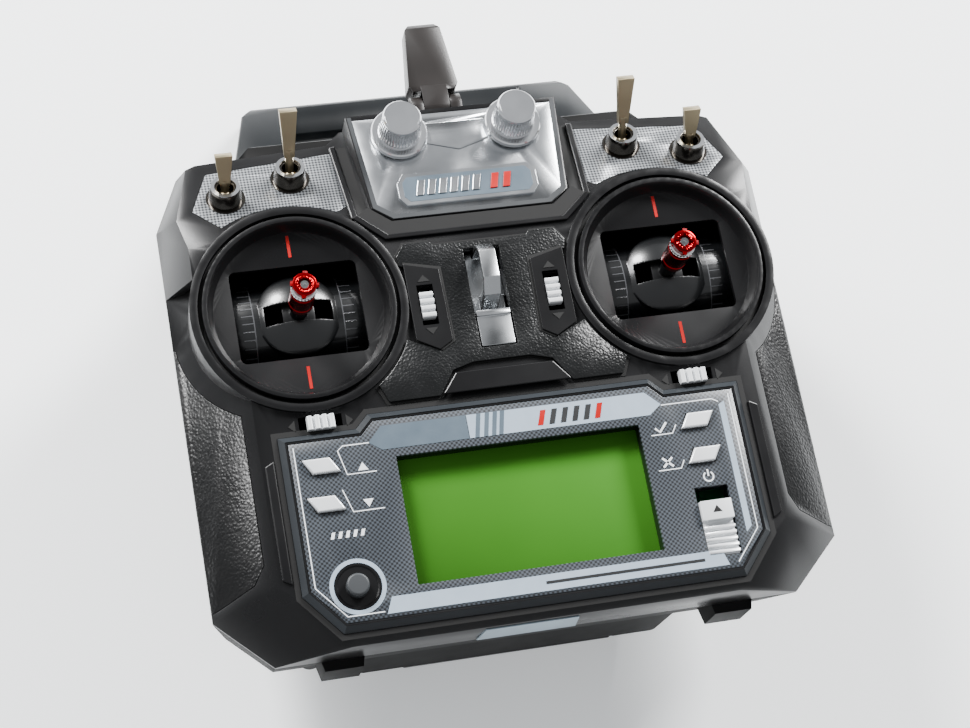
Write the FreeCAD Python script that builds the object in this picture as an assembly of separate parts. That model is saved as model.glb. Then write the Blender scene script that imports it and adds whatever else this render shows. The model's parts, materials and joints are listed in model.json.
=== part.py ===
"""Hand-held radio-control transmitter, modelled as an assembly of separate pieces.

Every piece is drawn in the face frame: X to the user's right, Y up the face towards the antenna,
Z out of the face towards the user, with Z = 0 on the rims of the two stick units.  On export the
whole model is moved so that it lies on its back on Z = 0, centred on the origin.
Lengths are in millimetres and angles in degrees.
"""
import FreeCAD
import Part

import math
import os

V = FreeCAD.Vector
X_AXIS, Y_AXIS, Z_AXIS = V(1, 0, 0), V(0, 1, 0), V(0, 0, 1)

# ---------------------------------------------------------------- case
WIDTH = 174.0             # across the grips
BODY_BOTTOM = -54.0       # lower end of the case
BODY_TOP = 92.5           # upper end of the case beside the raised pod
BODY_LENGTH = BODY_TOP - BODY_BOTTOM
WALL = 2.8                # front shell wall
REAR_WALL = 2.4           # rear shell wall
BASE_Z = -2.0             # flat ground of the front shell
PARTING_Z = -17.0         # plane where the two shells meet
EDGE_Z = -16.0            # lower edge of the side slopes
BACK_Z = -46.0            # flat back of the rear shell
REST_Z = -72.5            # plane of the handle and the feet that the set lies on
BACK_INSET = 5.0          # how much the rear shell narrows towards its back
FIT = 0.15                # gap round a piece that drops into a pocket
MOVE = 0.3                # gap round a piece that travels
RUN = 0.06                # radial running clearance of a pin in its hole

SLOPE_Y = 61.0            # where the switch slope starts
SLOPE_ANGLE = 20.0        # how far the switch slope falls back
LOW_RUN = 17.5            # width of the side slopes beside the grips
HIGH_RUN = 7.0            # width of the side bevels beside the switches
HIGH_Y = 52.0             # where the wide side slopes give way to the narrow bevels

# ---------------------------------------------------------------- stick units
COLLAR_R = 29.8           # outer radius of the round collar on the front shell
STICK_X = WIDTH / 2 - 34.4
STICK_Y = 40.0
COLLAR_Z = -0.7
COLLAR_END = -16.0
RIM_R = 26.4              # outer radius of the stick unit's rim
RIM_MOUTH_R = 25.1
RIM_FLOOR_R = 23.3
RIM_GROOVE = 1.2          # dark groove between rim and collar
FLOOR_Z = -4.0            # face of the round floor
FLOOR_THICK = 1.6
WINDOW_X, WINDOW_Y = 17.6, 13.4
PIVOT_Z = -20.8           # both stick axes cross here
DRUM_R = 14.5
DRUM_WALL = 1.8
DRUM_HALF = 19.8
DOME_R = 18.0
DOME_EDGE_R = 11.6
DOME_WALL = 1.8
BAND_Y = 3.4              # half width of the slider that rides in the dome
TRUNNION_R = 2.0
PIN_R = 1.5
UNIT_END = -16.0          # lower end of the stick unit's round barrel
BAND_HALF = 4.4           # half length of that slider
STICK_TOP = 16.5
PITCH_RANGE = 25.0
ROLL_RANGE = 22.0

# ---------------------------------------------------------------- control panel
PANEL_HALF = STICK_X + 9.2
PANEL_TOP = 1.6
PANEL_RAISED = 5.3        # top of the middle part of the panel
PANEL_RAISED_HALF = 38.3
PANEL_BOTTOM = -48.3
PANEL_CORNER = 8.0
PANEL_Z = -0.4
PANEL_THICK = 1.2
FRAME_BAND = 2.4          # sloped frame round the panel
LCD_HALF = 33.7
LCD_TOP, LCD_BOTTOM = -5.3, -40.7
LCD_Z = -5.0
KEY_W, KEY_H, KEY_LEAN = 7.4, 4.1, 2.4
KEY_TRAVEL = 0.8
KEY_TOP_Z = 0.8
KEYS = {"up_key": (-1, 7.8, -5.5), "down_key": (-1, 7.6, -16.0),
        "ok_key": (1, 11.7, -6.1), "cancel_key": (1, 11.7, -16.1)}
BIND_FROM_EDGE, BIND_Y = 12.1, -39.0
BIND_DISH_R, BIND_R, BIND_LIFT = 6.3, 3.05, 3.0
POWER_FROM_EDGE, POWER_W = 11.8, 9.4
POWER_TOP, POWER_BOTTOM = -25.0, -44.6
POWER_TRAVEL = 3.8

# ---------------------------------------------------------------- raised pod with the two dials
POD_HALF = 30.5
POD_BOTTOM = 63.0
POD_TOP = BODY_TOP + 4.5
POD_Z = -1.8
POD_ANGLE = 6.0
DIAL_X, DIAL_Y = 16.5, 89.3
DIAL_BASE_R, DIAL_TOP_R, DIAL_HEIGHT = 6.1, 5.4, 8.0
DIAL_SHAFT_R = 3.0
DIAL_RING_R, DIAL_RING_HEIGHT = 8.0, 2.0
PLATE_THICK = 1.0

# ---------------------------------------------------------------- toggle switches
SWITCH_INNER = (48.4, 81.5)
SWITCH_OUTER = (67.3, 76.8)
BUSH_R = 3.0
NUT_BASE_R, NUT_TOP_R, NUT_HEIGHT = 4.9, 4.0, 5.0
LEVER_LEAN = 15.0
LEVER_LONG, LEVER_SHORT = 22.4, 14.4

# ---------------------------------------------------------------- trims
TRIM_W, TRIM_L = 3.9, 7.8
TRIM_SLOT_W, TRIM_SLOT_L = 4.5, 11.8
TRIM_TRAVEL = 1.5
TRIM_V_X = STICK_X - COLLAR_R - 5.0
TRIM_V_Y = 36.4
TRIM_H_Y = 6.9
TRIM_TOP_Z = 0.3

# ---------------------------------------------------------------- strap hook
HOOK_HALF = 4.8
HOOK_LOW, HOOK_HIGH = 22.8, 51.4
HOOK_BAR = 2.3            # half width of the raised hook
HOOK_SHEET = 1.6

# ---------------------------------------------------------------- back: batteries, handle, antenna
HUMP_HALF = 44.0
HUMP_LOW, HUMP_HIGH = -49.0, 13.6
HUMP_Z = -69.5
CELL_R, CELL_LENGTH = 7.1, 50.3
CELL_PITCH = 14.6
CELL_Z = -59.5
DOOR_THICK = 1.8
SHOULDER_HALF = 60.0
SHOULDER_TOP = 101.0
SHOULDER_FRONT, SHOULDER_BACK = -24.0, -44.0
HANDLE_TOP = 131.0
HANDLE_BAR = 6.2
HANDLE_FRONT = -64.5
HANDLE_HALF = 49.5
ANTENNA_Z = -26.0
ANTENNA_BASE_TOP = 101.0
HINGE_Y = 106.2
EAR_R = 4.2
PADDLE_TOP = 133.5
FOOT_R, FOOT_HEIGHT = 4.4, 4.0

BOARD_TOP = -15.0         # upper face of the main board
TACT_TOP = BOARD_TOP + 3.0

SCREWS = ((WIDTH / 2 - 9.0, 64.0), (WIDTH / 2 - 11.0, -14.0), (WIDTH / 2 - 27.0, -46.5))
BOSS_R, SCREW_R, HEAD_R = 3.4, 1.3, 2.6

parts = {}


# ================================================================ drawing helpers
def box(x0, x1, y0, y1, z0, z1):
    return Part.makeBox(x1 - x0, y1 - y0, z1 - z0, V(x0, y0, z0))


def rod(x, y, z0, z1, r):
    """Upright cylinder."""
    return Part.makeCylinder(r, z1 - z0, V(x, y, z0), Z_AXIS)


def rod_x(x0, x1, y, z, r):
    return Part.makeCylinder(r, x1 - x0, V(x0, y, z), X_AXIS)


def rod_y(x, y0, y1, z, r):
    return Part.makeCylinder(r, y1 - y0, V(x, y0, z), Y_AXIS)


def cone(x, y, z0, z1, r0, r1):
    return Part.makeCone(r0, r1, z1 - z0, V(x, y, z0), Z_AXIS)


def ball(x, y, z, r):
    return Part.makeSphere(r, V(x, y, z))


def prism(points, z0, z1):
    """Extrudes an XY outline from z0 to z1."""
    wire = Part.makePolygon([V(x, y, z0) for x, y in points] + [V(*points[0], z0)])
    return Part.Face(wire).extrude(V(0, 0, z1 - z0))


def prism_x(points, x0, x1):
    """Extrudes a YZ outline from x0 to x1."""
    wire = Part.makePolygon([V(x0, y, z) for y, z in points] + [V(x0, *points[0])])
    return Part.Face(wire).extrude(V(x1 - x0, 0, 0))


def prism_y(points, y0, y1):
    """Extrudes an XZ outline from y0 to y1."""
    wire = Part.makePolygon([V(x, y0, z) for x, z in points] + [V(points[0][0], y0, points[0][1])])
    return Part.Face(wire).extrude(V(0, y1 - y0, 0))


def inset(points, d):
    """Moves every side of an anticlockwise outline inwards by d."""
    moved = []
    for i in range(len(points)):
        a, b, c = points[i - 1], points[i], points[(i + 1) % len(points)]
        u, w = _unit(a, b), _unit(b, c)
        turn = u[0] * w[1] - u[1] * w[0]
        if abs(turn) < 1e-6:
            moved.append((b[0] - u[1] * d, b[1] + u[0] * d))
            continue
        reach = d * (1 - (u[0] * w[0] + u[1] * w[1])) / turn
        moved.append((b[0] - u[1] * d - u[0] * reach, b[1] + u[0] * d - u[1] * reach))
    return moved


def _unit(a, b):
    length = math.hypot(b[0] - a[0], b[1] - a[1])
    return (b[0] - a[0]) / length, (b[1] - a[1]) / length


def both_sides(right):
    """Closes an outline given as its right half, from the bottom upwards."""
    return right + [(-x, y) for x, y in reversed(right)]


def loft(low, z0, high, z1):
    wires = [Part.makePolygon([V(x, y, z) for x, y in pts] + [V(*pts[0], z)])
             for pts, z in ((low, z0), (high, z1))]
    return Part.makeLoft(wires, True, True)


def tilt(shape, angle, y, z):
    """Turns a shape so that its +Y side falls by angle about the X line through (y, z)."""
    turned = shape.copy()
    turned.rotate(V(0, y, z), X_AXIS, -angle)
    return turned


def moved(shape, x=0.0, y=0.0, z=0.0):
    copy = shape.copy()
    copy.translate(V(x, y, z))
    return copy


def fuse(first, *others):
    return first.fuse(list(others)).removeSplitter()


def cut(first, *others):
    return first.cut(list(others))


def softened(shape, radius, keep):
    """Fillets the edges for which keep(edge) is true."""
    edges = [e for e in shape.Edges if keep(e)]
    return shape.makeFillet(radius, edges) if edges else shape


def at_height(z, slack=0.05):
    return lambda e: abs(e.BoundBox.ZMin - z) < slack and abs(e.BoundBox.ZMax - z) < slack


# ================================================================ case outlines
def case_outline():
    half = WIDTH / 2
    return both_sides([(half - 14.5, BODY_BOTTOM), (half, BODY_BOTTOM + 14), (half, BODY_TOP - 20.5),
                       (half - 7.5, BODY_TOP - 5), (half - 13, BODY_TOP - 2.5), (POD_HALF + 5.5, BODY_TOP),
                       (POD_HALF + 1, POD_TOP)])


def pod_outline():
    return both_sides([(POD_HALF - 7.6, POD_BOTTOM), (POD_HALF - 2.4, POD_BOTTOM + 4.2),
                       (POD_HALF, POD_TOP)])


def panel_outline():
    edge, raised = PANEL_HALF, PANEL_RAISED_HALF
    step = PANEL_RAISED - PANEL_TOP
    return both_sides([(edge - PANEL_CORNER, PANEL_BOTTOM), (edge, PANEL_BOTTOM + PANEL_CORNER * 1.2),
                       (edge, PANEL_TOP), (raised + step, PANEL_TOP), (raised, PANEL_RAISED)])


def grip_outline():
    """Right-hand grip: straight inner side, round top that follows the stick collar."""
    half = WIDTH / 2
    inner = half - 14.5
    r = COLLAR_R + 4.2
    low = STICK_Y - math.sqrt(r * r - (inner - STICK_X) ** 2)
    first = math.atan2(low - STICK_Y, inner - STICK_X)
    last = math.atan2(-3.0, math.sqrt(r * r - 9.0))
    top = [(STICK_X + r * math.cos(a), STICK_Y + r * math.sin(a))
           for a in (last + (first - last) * i / 10 for i in range(11))]
    return [(half + 3, top[0][1])] + top + [(inner, -29.0), (inner + 3, -33.5), (half - 2, -37.0),
                                            (half + 3, -38.0)]


def side_cutter(px, py, heading, run, rise, depth, y0=-200.0, y1=200.0):
    """Removes what lies outside a sloped side.  The slope's lower edge passes through (px, py) at
    EDGE_Z, faces along heading, and rises by rise over run towards the inside."""
    size = math.hypot(run, rise)
    nx, nz = rise / size, run / size
    low = (-nx * depth, EDGE_Z - nz * depth)
    high = (low[0] - run * 3, low[1] + rise * 3)
    wedge = prism_y([low, (60, low[1]), (60, 60), (high[0], 60), high], y0, y1)
    wedge.rotate(V(0, 0, 0), Z_AXIS, heading)
    return moved(wedge, px, py)


def case_block(depth):
    """The front shell's convex body, with all its sides moved in by depth."""
    half = WIDTH / 2
    block = prism(inset(case_outline(), depth), PARTING_Z - (1 if depth else 0), BASE_Z - depth)
    rise = BASE_Z - EDGE_Z
    for sign, flip in ((1, 0), (-1, 180)):
        wide = side_cutter(sign * half, 0, flip, LOW_RUN, rise, depth,
                           *sorted((-200.0 * sign, HIGH_Y * sign)))
        narrow = side_cutter(sign * half, 0, flip, HIGH_RUN, rise, depth,
                             *sorted((HIGH_Y * sign, 200.0 * sign)))
        low_corner = side_cutter(sign * (half - 7.25), BODY_BOTTOM + 7.0,
                                 -46.0 if sign > 0 else 226.0, 15.0, rise, depth)
        high_corner = side_cutter(sign * (half - 3.75), BODY_TOP - 12.75,
                                  25.8 if sign > 0 else 154.2, HIGH_RUN, rise, depth)
        block = cut(block, wide, narrow, low_corner, high_corner)
    slope = tilt(box(-200, 200, SLOPE_Y, SLOPE_Y + 200, BASE_Z - depth, BASE_Z + 80),
                 SLOPE_ANGLE, SLOPE_Y, BASE_Z - depth)
    chamfer = prism_x([(BODY_BOTTOM - 5 + depth, EDGE_Z + 9 - depth), (BODY_BOTTOM + 3 + depth, BASE_Z + 1 - depth),
                       (BODY_BOTTOM - 5 + depth, BASE_Z + 1 - depth)], -200, 200)
    return cut(block, slope, chamfer)


def pod_plane_cutter(drop):
    """What lies above the pod's face, moved down by drop."""
    return tilt(box(-200, 200, POD_BOTTOM - 60, POD_BOTTOM + 150, POD_Z - drop, POD_Z + 80),
                POD_ANGLE, POD_BOTTOM, POD_Z - drop)


def on_slope(shape, x, y):
    """Places a piece drawn about the origin on the switch slope, above the face point (x, y)."""
    z = BASE_Z - (y - SLOPE_Y) * math.tan(math.radians(SLOPE_ANGLE))
    turned = shape.copy()
    turned.rotate(V(0, 0, 0), X_AXIS, -SLOPE_ANGLE)
    return moved(turned, x, y, z)


def on_pod(shape, x, y):
    """Places a piece drawn about the origin on the pod's face, above the face point (x, y)."""
    z = POD_Z - (y - POD_BOTTOM) * math.tan(math.radians(POD_ANGLE))
    turned = shape.copy()
    turned.rotate(V(0, 0, 0), X_AXIS, -POD_ANGLE)
    return moved(turned, x, y, z)


# ================================================================ plates let into the front shell
def switch_plate_outline():
    """Right-hand plate: a chamfered quadrilateral whose lower side follows the stick collar."""
    r = COLLAR_R + 2.2
    cx = STICK_X
    first = math.atan2(27.0, 17.4)
    last = math.atan2(28.2, -15.1)
    arc = [(cx + r * math.cos(a), STICK_Y + r * math.sin(a))
           for a in (first + (last - first) * i / 12 for i in range(13))]
    return [(cx + 24.4, 73.6), (cx + 18.9, 86.3), (cx - 17.1, 89.5), (cx - 18.3, 70.0)] + arc[::-1]


def plate_on_slope(outline, top, bottom):
    """A sheet that follows the switch slope, between two heights measured from its surface."""
    upper = tilt(box(-200, 200, SLOPE_Y - 40, SLOPE_Y + 60, bottom, top), SLOPE_ANGLE, SLOPE_Y, 0)
    return prism(outline, -40, 20).common(moved(upper, 0, 0, BASE_Z))


def plate_on_pod(outline, top, bottom):
    sheet = tilt(box(-200, 200, POD_BOTTOM - 30, POD_BOTTOM + 60, bottom, top), POD_ANGLE, POD_BOTTOM, 0)
    return prism(outline, -40, 20).common(moved(sheet, 0, 0, POD_Z))


def centre_outline():
    """Textured plate between the stick units, as its right half from the bottom upwards."""
    r = COLLAR_R + 0.6
    tip = STICK_X - 18.1
    arc = []
    a0 = math.atan2(-25.3, -18.1)
    a1 = math.atan2(-12.9, -math.sqrt(r * r - 12.9 ** 2))
    a0 += 2 * math.pi
    a1 += 2 * math.pi
    for i in range(9):
        a = a0 + (a1 - a0) * i / 8
        arc.append((STICK_X + r * math.cos(a), STICK_Y + r * math.sin(a)))
    edge = TRIM_V_X - 4.9
    right = [(18.6, 10.2), (tip - 1.8, 10.2), (tip, 14.5)] + arc
    right += [(TRIM_V_X - 1.2, 23.5), (edge, 26.0), (edge, 45.8), (TRIM_V_X + 5.6, 48.6)]
    right += [(TRIM_V_X + 6.3, 51.4), (TRIM_V_X + 3.6, 55.1), (14.2, 55.1), (13.2, 54.0)]
    return right


def centre_plate_outline():
    right = centre_outline()
    notch = [(14.0, 17.0), (8.0, 18.7)]
    return both_sides(notch[::-1] + right)


# ================================================================ housing
def key_centre(sign, off, y):
    return sign * (PANEL_HALF - off), y


def key_outline(gap, sign):
    """Slanted key: the keys on the two sides lean towards each other at the bottom."""
    w, h, lean = KEY_W / 2 + gap, KEY_H / 2 + gap, -sign * KEY_LEAN / 2
    return [(-w + lean, -h), (w + lean, -h), (w - lean, h), (-w - lean, h)]


def moved_outline(points, x, y):
    return [(px + x, py + y) for px, py in points]


def panel_cutters(gap):
    """Everything that has to pass through the display panel and the shell behind it."""
    tools = [box(-LCD_HALF, LCD_HALF, LCD_BOTTOM, LCD_TOP, -12, 12)]
    for place in KEYS.values():
        tools.append(prism(moved_outline(key_outline(gap, place[0]), *key_centre(*place)), -12, 12))
    bx, px = -(PANEL_HALF - BIND_FROM_EDGE), PANEL_HALF - POWER_FROM_EDGE
    tools.append(rod(bx, BIND_Y, -12, 12, BIND_R + gap))
    tools.append(cone(bx, BIND_Y, PANEL_Z - 1.0, PANEL_Z + 0.01, BIND_R + 1.2, BIND_DISH_R))
    tools.append(box(px - POWER_W / 2, px + POWER_W / 2, POWER_BOTTOM, POWER_TOP, -12, 12))
    return tools


def trim_places():
    return {"left_pitch_trim": (-TRIM_V_X, TRIM_V_Y, True), "right_pitch_trim": (TRIM_V_X, TRIM_V_Y, True),
            "left_roll_trim": (-STICK_X + 0.6, TRIM_H_Y, False), "right_roll_trim": (STICK_X - 0.6, TRIM_H_Y, False)}


def trim_slot(x, y, upright):
    w, h = (TRIM_SLOT_W, TRIM_SLOT_L) if upright else (TRIM_SLOT_L, TRIM_SLOT_W)
    return box(x - w / 2, x + w / 2, y - h / 2, y + h / 2, -12, 12)


def turn_about(shape, x, y, angle):
    turned = shape.copy()
    turned.rotate(V(x, y, 0), Z_AXIS, angle)
    return turned


TRIM_PIVOT_Z = TRIM_TOP_Z - 9.0


def trim_cheeks(x, y, upright):
    """Two small lugs under the shell that carry a trim rocker's pins."""
    lugs = box(x - 3.5, x + 3.5, y - 2.2, y + 2.2, TRIM_PIVOT_Z - 1.9, BASE_Z - WALL + 0.5)
    lugs = cut(lugs, box(x - 2.4, x + 2.4, y - 3, y + 3, -20, 5),
               rod_x(x - 5, x + 5, y, TRIM_PIVOT_Z, 1.0 + RUN))
    return lugs if upright else turn_about(lugs, x, y, 90)


def switch_places():
    (ix, iy), (ox, oy) = SWITCH_INNER, SWITCH_OUTER
    shift = WIDTH / 2 - 87.0
    return {"outer_left": (-ox - shift, oy, LEVER_SHORT), "inner_left": (-ix - shift, iy, LEVER_LONG),
            "inner_right": (ix + shift, iy, LEVER_LONG), "outer_right": (ox + shift, oy, LEVER_SHORT)}


GRIP_THICK = 1.6


def grip_skin(gap):
    skin = case_block(0).cut(case_block(GRIP_THICK + gap / 2))
    return skin.common(prism(inset(grip_outline(), -gap), PARTING_Z - 5, 10))


def board_posts():
    return [(s * (PANEL_HALF - 19.5), y) for s in (-1, 1) for y in (-40.5, -1.0)]


def front_shell():
    frame = inset(panel_outline(), -FRAME_BAND)
    island = loft(frame, BASE_Z - 1.0, inset(panel_outline(), -0.9), PANEL_Z)
    pod = cut(prism(pod_outline(), PARTING_Z, 12), pod_plane_cutter(0))
    body = fuse(case_block(0), pod, island)
    hollow = cut(prism(inset(pod_outline(), WALL), PARTING_Z - 5, 12), pod_plane_cutter(WALL))
    body = cut(body, case_block(WALL), hollow.common(box(-200, 200, 60, POD_TOP - WALL, -60, 20)))
    rings, holes = [], []
    for x in (-STICK_X, STICK_X):
        rings.append(rod(x, STICK_Y, COLLAR_END, COLLAR_Z, COLLAR_R))
        holes.append(rod(x, STICK_Y, -60, 20, RIM_R + RIM_GROOVE))
    lugs = [trim_cheeks(*place) for place in trim_places().values()]
    bosses = [rod(s * x, y, PARTING_Z, BASE_Z, BOSS_R).common(case_block(0.6)) for x, y in SCREWS for s in (-1, 1)]
    for x, y in board_posts():
        bosses += [rod(x, y, BOARD_TOP, BASE_Z - 1, 2.6), rod(x, y, BOARD_TOP - 2.4, BOARD_TOP + 1, 1.5)]
    body = fuse(body, *(rings + lugs + bosses))
    tools = holes + panel_cutters(MOVE) + [trim_slot(*p) for p in trim_places().values()]
    tools.append(prism(inset(panel_outline(), -FIT), PANEL_Z - PANEL_THICK, 12))
    tools.append(box(-HOOK_HALF - 0.3, HOOK_HALF + 0.3, HOOK_LOW - 0.3, HOOK_HIGH + 0.3, -12, 12))
    grip = grip_skin(FIT)
    tools += [grip, mirrored_x(grip)]
    plate = plate_on_slope(inset(switch_plate_outline(), -FIT), 1, -PLATE_THICK)
    tools += [plate, mirrored_x(plate), plate_on_pod(inset(pod_outline(), 1.2), 3, -PLATE_THICK)]
    for x, y, _ in switch_places().values():
        tools.append(on_slope(rod(0, 0, -9, 9, BUSH_R + 0.2), x, y))
    for s in (-1, 1):
        tools.append(on_pod(rod(0, 0, -9, 9, DIAL_SHAFT_R + 0.3), s * DIAL_X, DIAL_Y))
        tools += [rod(s * x, y, PARTING_Z - 1, PARTING_Z + 6.5, SCREW_R) for x, y in SCREWS]
    return cut(body, *tools)


def mirrored_x(shape):
    return shape.mirror(V(0, 0, 0), X_AXIS)


def back_outline(z, depth):
    share = (PARTING_Z - z) / (PARTING_Z - BACK_Z)
    return inset(case_outline(), depth + BACK_INSET * share)


def shoulder_block(d):
    half, top, tip = SHOULDER_HALF - d, SHOULDER_TOP - d, 12.0
    plan = both_sides([(half, BODY_TOP - 22), (half, top - 5), (half - 5, top)])
    profile = [(BODY_TOP - 24, SHOULDER_FRONT - d), (top - 2, SHOULDER_FRONT - d), (top, SHOULDER_FRONT - 4 - d),
               (top, SHOULDER_BACK + tip / 2), (top - tip, SHOULDER_BACK + d), (BODY_TOP - 24, SHOULDER_BACK + d)]
    return prism(plan, -60, 0).common(prism_x(profile, -200, 200))


def hump_block(d):
    """Battery hump on the back, with a tapered upper end."""
    profile = [(HUMP_LOW + d + 1, BACK_Z + 4), (HUMP_LOW + d, HUMP_Z + 3 + d), (HUMP_LOW + d + 3, HUMP_Z + d),
               (HUMP_HIGH - d, HUMP_Z + d), (HUMP_HIGH - d + 9, BACK_Z + 4)]
    wide = HUMP_HALF - d
    section = [(-wide - 3, BACK_Z + 4), (-wide, HUMP_Z + 4), (-wide + 4, HUMP_Z + d), (wide - 4, HUMP_Z + d),
               (wide, HUMP_Z + 4), (wide + 3, BACK_Z + 4)]
    return prism_x(profile, -200, 200).common(prism_y(section, -200, 200))


DOOR_HALF, DOOR_LOW, DOOR_HIGH = 31.0, HUMP_LOW + 2.0, 7.6
CELLS_LOW = -42.5
ANTENNA_BASE_LOW = BODY_TOP + 3.5
SOCKET_X, SOCKET_Z, SOCKET_R = 26.0, -34.0, 6.0
HANDLE_FOOT = (BODY_TOP - 26.0, BODY_TOP - 8.0)


def rear_shell():
    body = loft(case_outline(), PARTING_Z, back_outline(BACK_Z, 0), BACK_Z)
    body = fuse(body, hump_block(0), shoulder_block(0), *foot_loops())
    inner = loft(inset(case_outline(), REAR_WALL), PARTING_Z + 0.01, back_outline(BACK_Z, REAR_WALL),
                 BACK_Z + REAR_WALL)
    body = cut(body, inner, hump_block(REAR_WALL))
    bosses = [rod(s * x, y, BACK_Z + 0.5, PARTING_Z, BOSS_R) for x, y in SCREWS for s in (-1, 1)]
    body = fuse(body, *bosses)
    tools = []
    for s in (-1, 1):
        for x, y in SCREWS:
            tools += [rod(s * x, y, BACK_Z - 5, PARTING_Z + 5, SCREW_R + 0.25),
                      rod(s * x, y, BACK_Z - 5, BACK_Z + 3.0, HEAD_R + 0.2)]
    tools.append(box(-DOOR_HALF - MOVE, DOOR_HALF + MOVE, HUMP_LOW - 5, DOOR_HIGH + MOVE,
                     HUMP_Z - 5, HUMP_Z + REAR_WALL + 1))
    tools += [rod(x, y, HUMP_Z - 5, REST_Z + FOOT_HEIGHT, FOOT_R + 0.05) for x, y in foot_places()]
    tools.append(rod_y(SOCKET_X, BODY_TOP - 5, SHOULDER_TOP + 5, SOCKET_Z, SOCKET_R))
    tools.append(rod_y(0, BODY_TOP - 6, SHOULDER_TOP + 8, ANTENNA_Z, 4.0))
    tools.append(box(-13.0, 13.0, ANTENNA_BASE_LOW, 130, ANTENNA_Z - 7.3, 0))
    return cut(body, *tools)


def foot_places():
    x = HUMP_HALF - 6.6
    return [(sx * x, y) for sx in (-1, 1) for y in (HUMP_LOW + 9.5, HUMP_HIGH - 7.5)]


def foot_loops():
    """Two moulded loops on the lower wall that the set stands on when upright."""
    loops = []
    for s in (-1, 1):
        x = s * (STICK_X + 1.6)
        plan = [(x - 6.5, BODY_BOTTOM + 3), (x - 5.2, BODY_BOTTOM - 2.5), (x + 5.2, BODY_BOTTOM - 2.5),
                (x + 6.5, BODY_BOTTOM + 3)]
        loops.append(prism(plan, PARTING_Z - 13.5, PARTING_Z - 1.0))
    return loops


def carry_handle():
    low, high = HANDLE_FOOT
    x0 = SHOULDER_HALF + 1.0
    plan = [(x0, low - 1), (x0, BODY_TOP + 4), (HANDLE_HALF + 3, HANDLE_TOP - 3), (HANDLE_HALF, HANDLE_TOP),
            (HANDLE_HALF - 14, HANDLE_TOP), (x0 - 16, BODY_TOP + 2), (x0 - 16, low - 1)]
    profile = [(low, BACK_Z), (high, BACK_Z), (SHOULDER_TOP + 2, BACK_Z - 3), (HANDLE_TOP - 1.5, HANDLE_FRONT),
               (HANDLE_TOP, HANDLE_FRONT - 1.5), (HANDLE_TOP, REST_Z + 1), (HANDLE_TOP - 1, REST_Z),
               (HANDLE_TOP - HANDLE_BAR - 8, REST_Z), (SHOULDER_TOP, BACK_Z - 14), (low, BACK_Z - 5)]
    arm = prism(plan, -90, 0).common(prism_x(profile, -200, 200))
    bar = prism_x([(HANDLE_TOP - HANDLE_BAR - 6, REST_Z), (HANDLE_TOP - 1, REST_Z), (HANDLE_TOP, REST_Z + 1),
                   (HANDLE_TOP, HANDLE_FRONT - 1.5), (HANDLE_TOP - 1.5, HANDLE_FRONT),
                   (HANDLE_TOP - HANDLE_BAR - 4, HANDLE_FRONT), (HANDLE_TOP - HANDLE_BAR - 6, HANDLE_FRONT - 2)],
                  -HANDLE_HALF + 2, HANDLE_HALF - 2)
    return fuse(bar, arm, mirrored_x(arm))


def centre_plate():
    plate = prism(centre_plate_outline(), BASE_Z, COLLAR_Z - 0.3)
    tools = [box(-HOOK_HALF - 0.3, HOOK_HALF + 0.3, HOOK_LOW - 0.3, HOOK_HIGH + 0.3, -12, 12)]
    return cut(plate, *(tools + [trim_slot(*p) for p in trim_places().values() if p[2]]))


def display_panel():
    return cut(prism(panel_outline(), PANEL_Z - PANEL_THICK, PANEL_Z), *panel_cutters(MOVE))


def badge_outline():
    return both_sides([(18.0, 66.2), (20.0, 68.8), (20.0, 73.6), (18.0, 76.4)])


def strap_hook():
    """Bent steel bracket: a tongue flush with the face, a bed under the shell and a raised bar."""
    t, w = HOOK_SHEET, HOOK_HALF
    under = BASE_Z - WALL
    profile = [(34.0, under), (36.0, 2.6), (40.0, 5.8), (48.2, 5.8), (HOOK_HIGH, 2.0), (HOOK_HIGH, under)]
    inner = [(38.4, under), (38.2, 1.8), (41.0, 5.8 - t), (47.4, 5.8 - t), (HOOK_HIGH - t, 1.4), (HOOK_HIGH - t, under)]
    bar = cut(prism_x(profile, -HOOK_BAR, HOOK_BAR), prism_x(inner, -w, w))
    return fuse(box(-w, w, HOOK_LOW, 33.0, -1.2 - t, -1.2), box(-w, w, 33.0 - t, 33.0, under - t, -0.6),
                box(-w, w, 33.0 - t, HOOK_HIGH, under - t, under), box(-9.5, 9.5, 38.0, 46.0, under - t, under), bar)


def nameplate():
    """Small metal plate on the lower wall."""
    return box(-18.0, 9.0, BODY_BOTTOM - 0.6, BODY_BOTTOM, PARTING_Z + 1.0, PARTING_Z + 11.5)


# ================================================================ stick units, drawn about the stick axis
def stick_housing(side):
    body = fuse(rod(0, 0, UNIT_END, 0, RIM_R), rod(0, 0, UNIT_END - 1.8, UNIT_END, COLLAR_R))
    recess = cone(0, 0, FLOOR_Z, 0.01, RIM_FLOOR_R, RIM_MOUTH_R)
    cavity = rod(0, 0, UNIT_END - 5, FLOOR_Z - FLOOR_THICK, RIM_R - 2.0)
    window = softened(box(-WINDOW_X, WINDOW_X, -WINDOW_Y, WINDOW_Y, -8, 1), 1.8,
                      lambda e: e.BoundBox.ZLength > 5)
    body = cut(body, recess, cavity, window)
    x0, x1 = DRUM_HALF + 0.5, DRUM_HALF + 3.0
    posts = [box(s * x0 if s > 0 else -x1, x1 if s > 0 else -x0, -4, 4, PIVOT_Z - 4.2, FLOOR_Z - 1.0)
             for s in (-1, 1)]
    outer = side * (RIM_R + 0.2)
    pegs = [rod(outer, y, PIVOT_Z - 3.5, UNIT_END - 1.0, 1.0) for y in (-8.0, 8.0)]
    body = fuse(body, *(posts + pegs))
    return cut(body, rod_x(-30, 30, 0, PIVOT_Z, TRUNNION_R + RUN))


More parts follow.
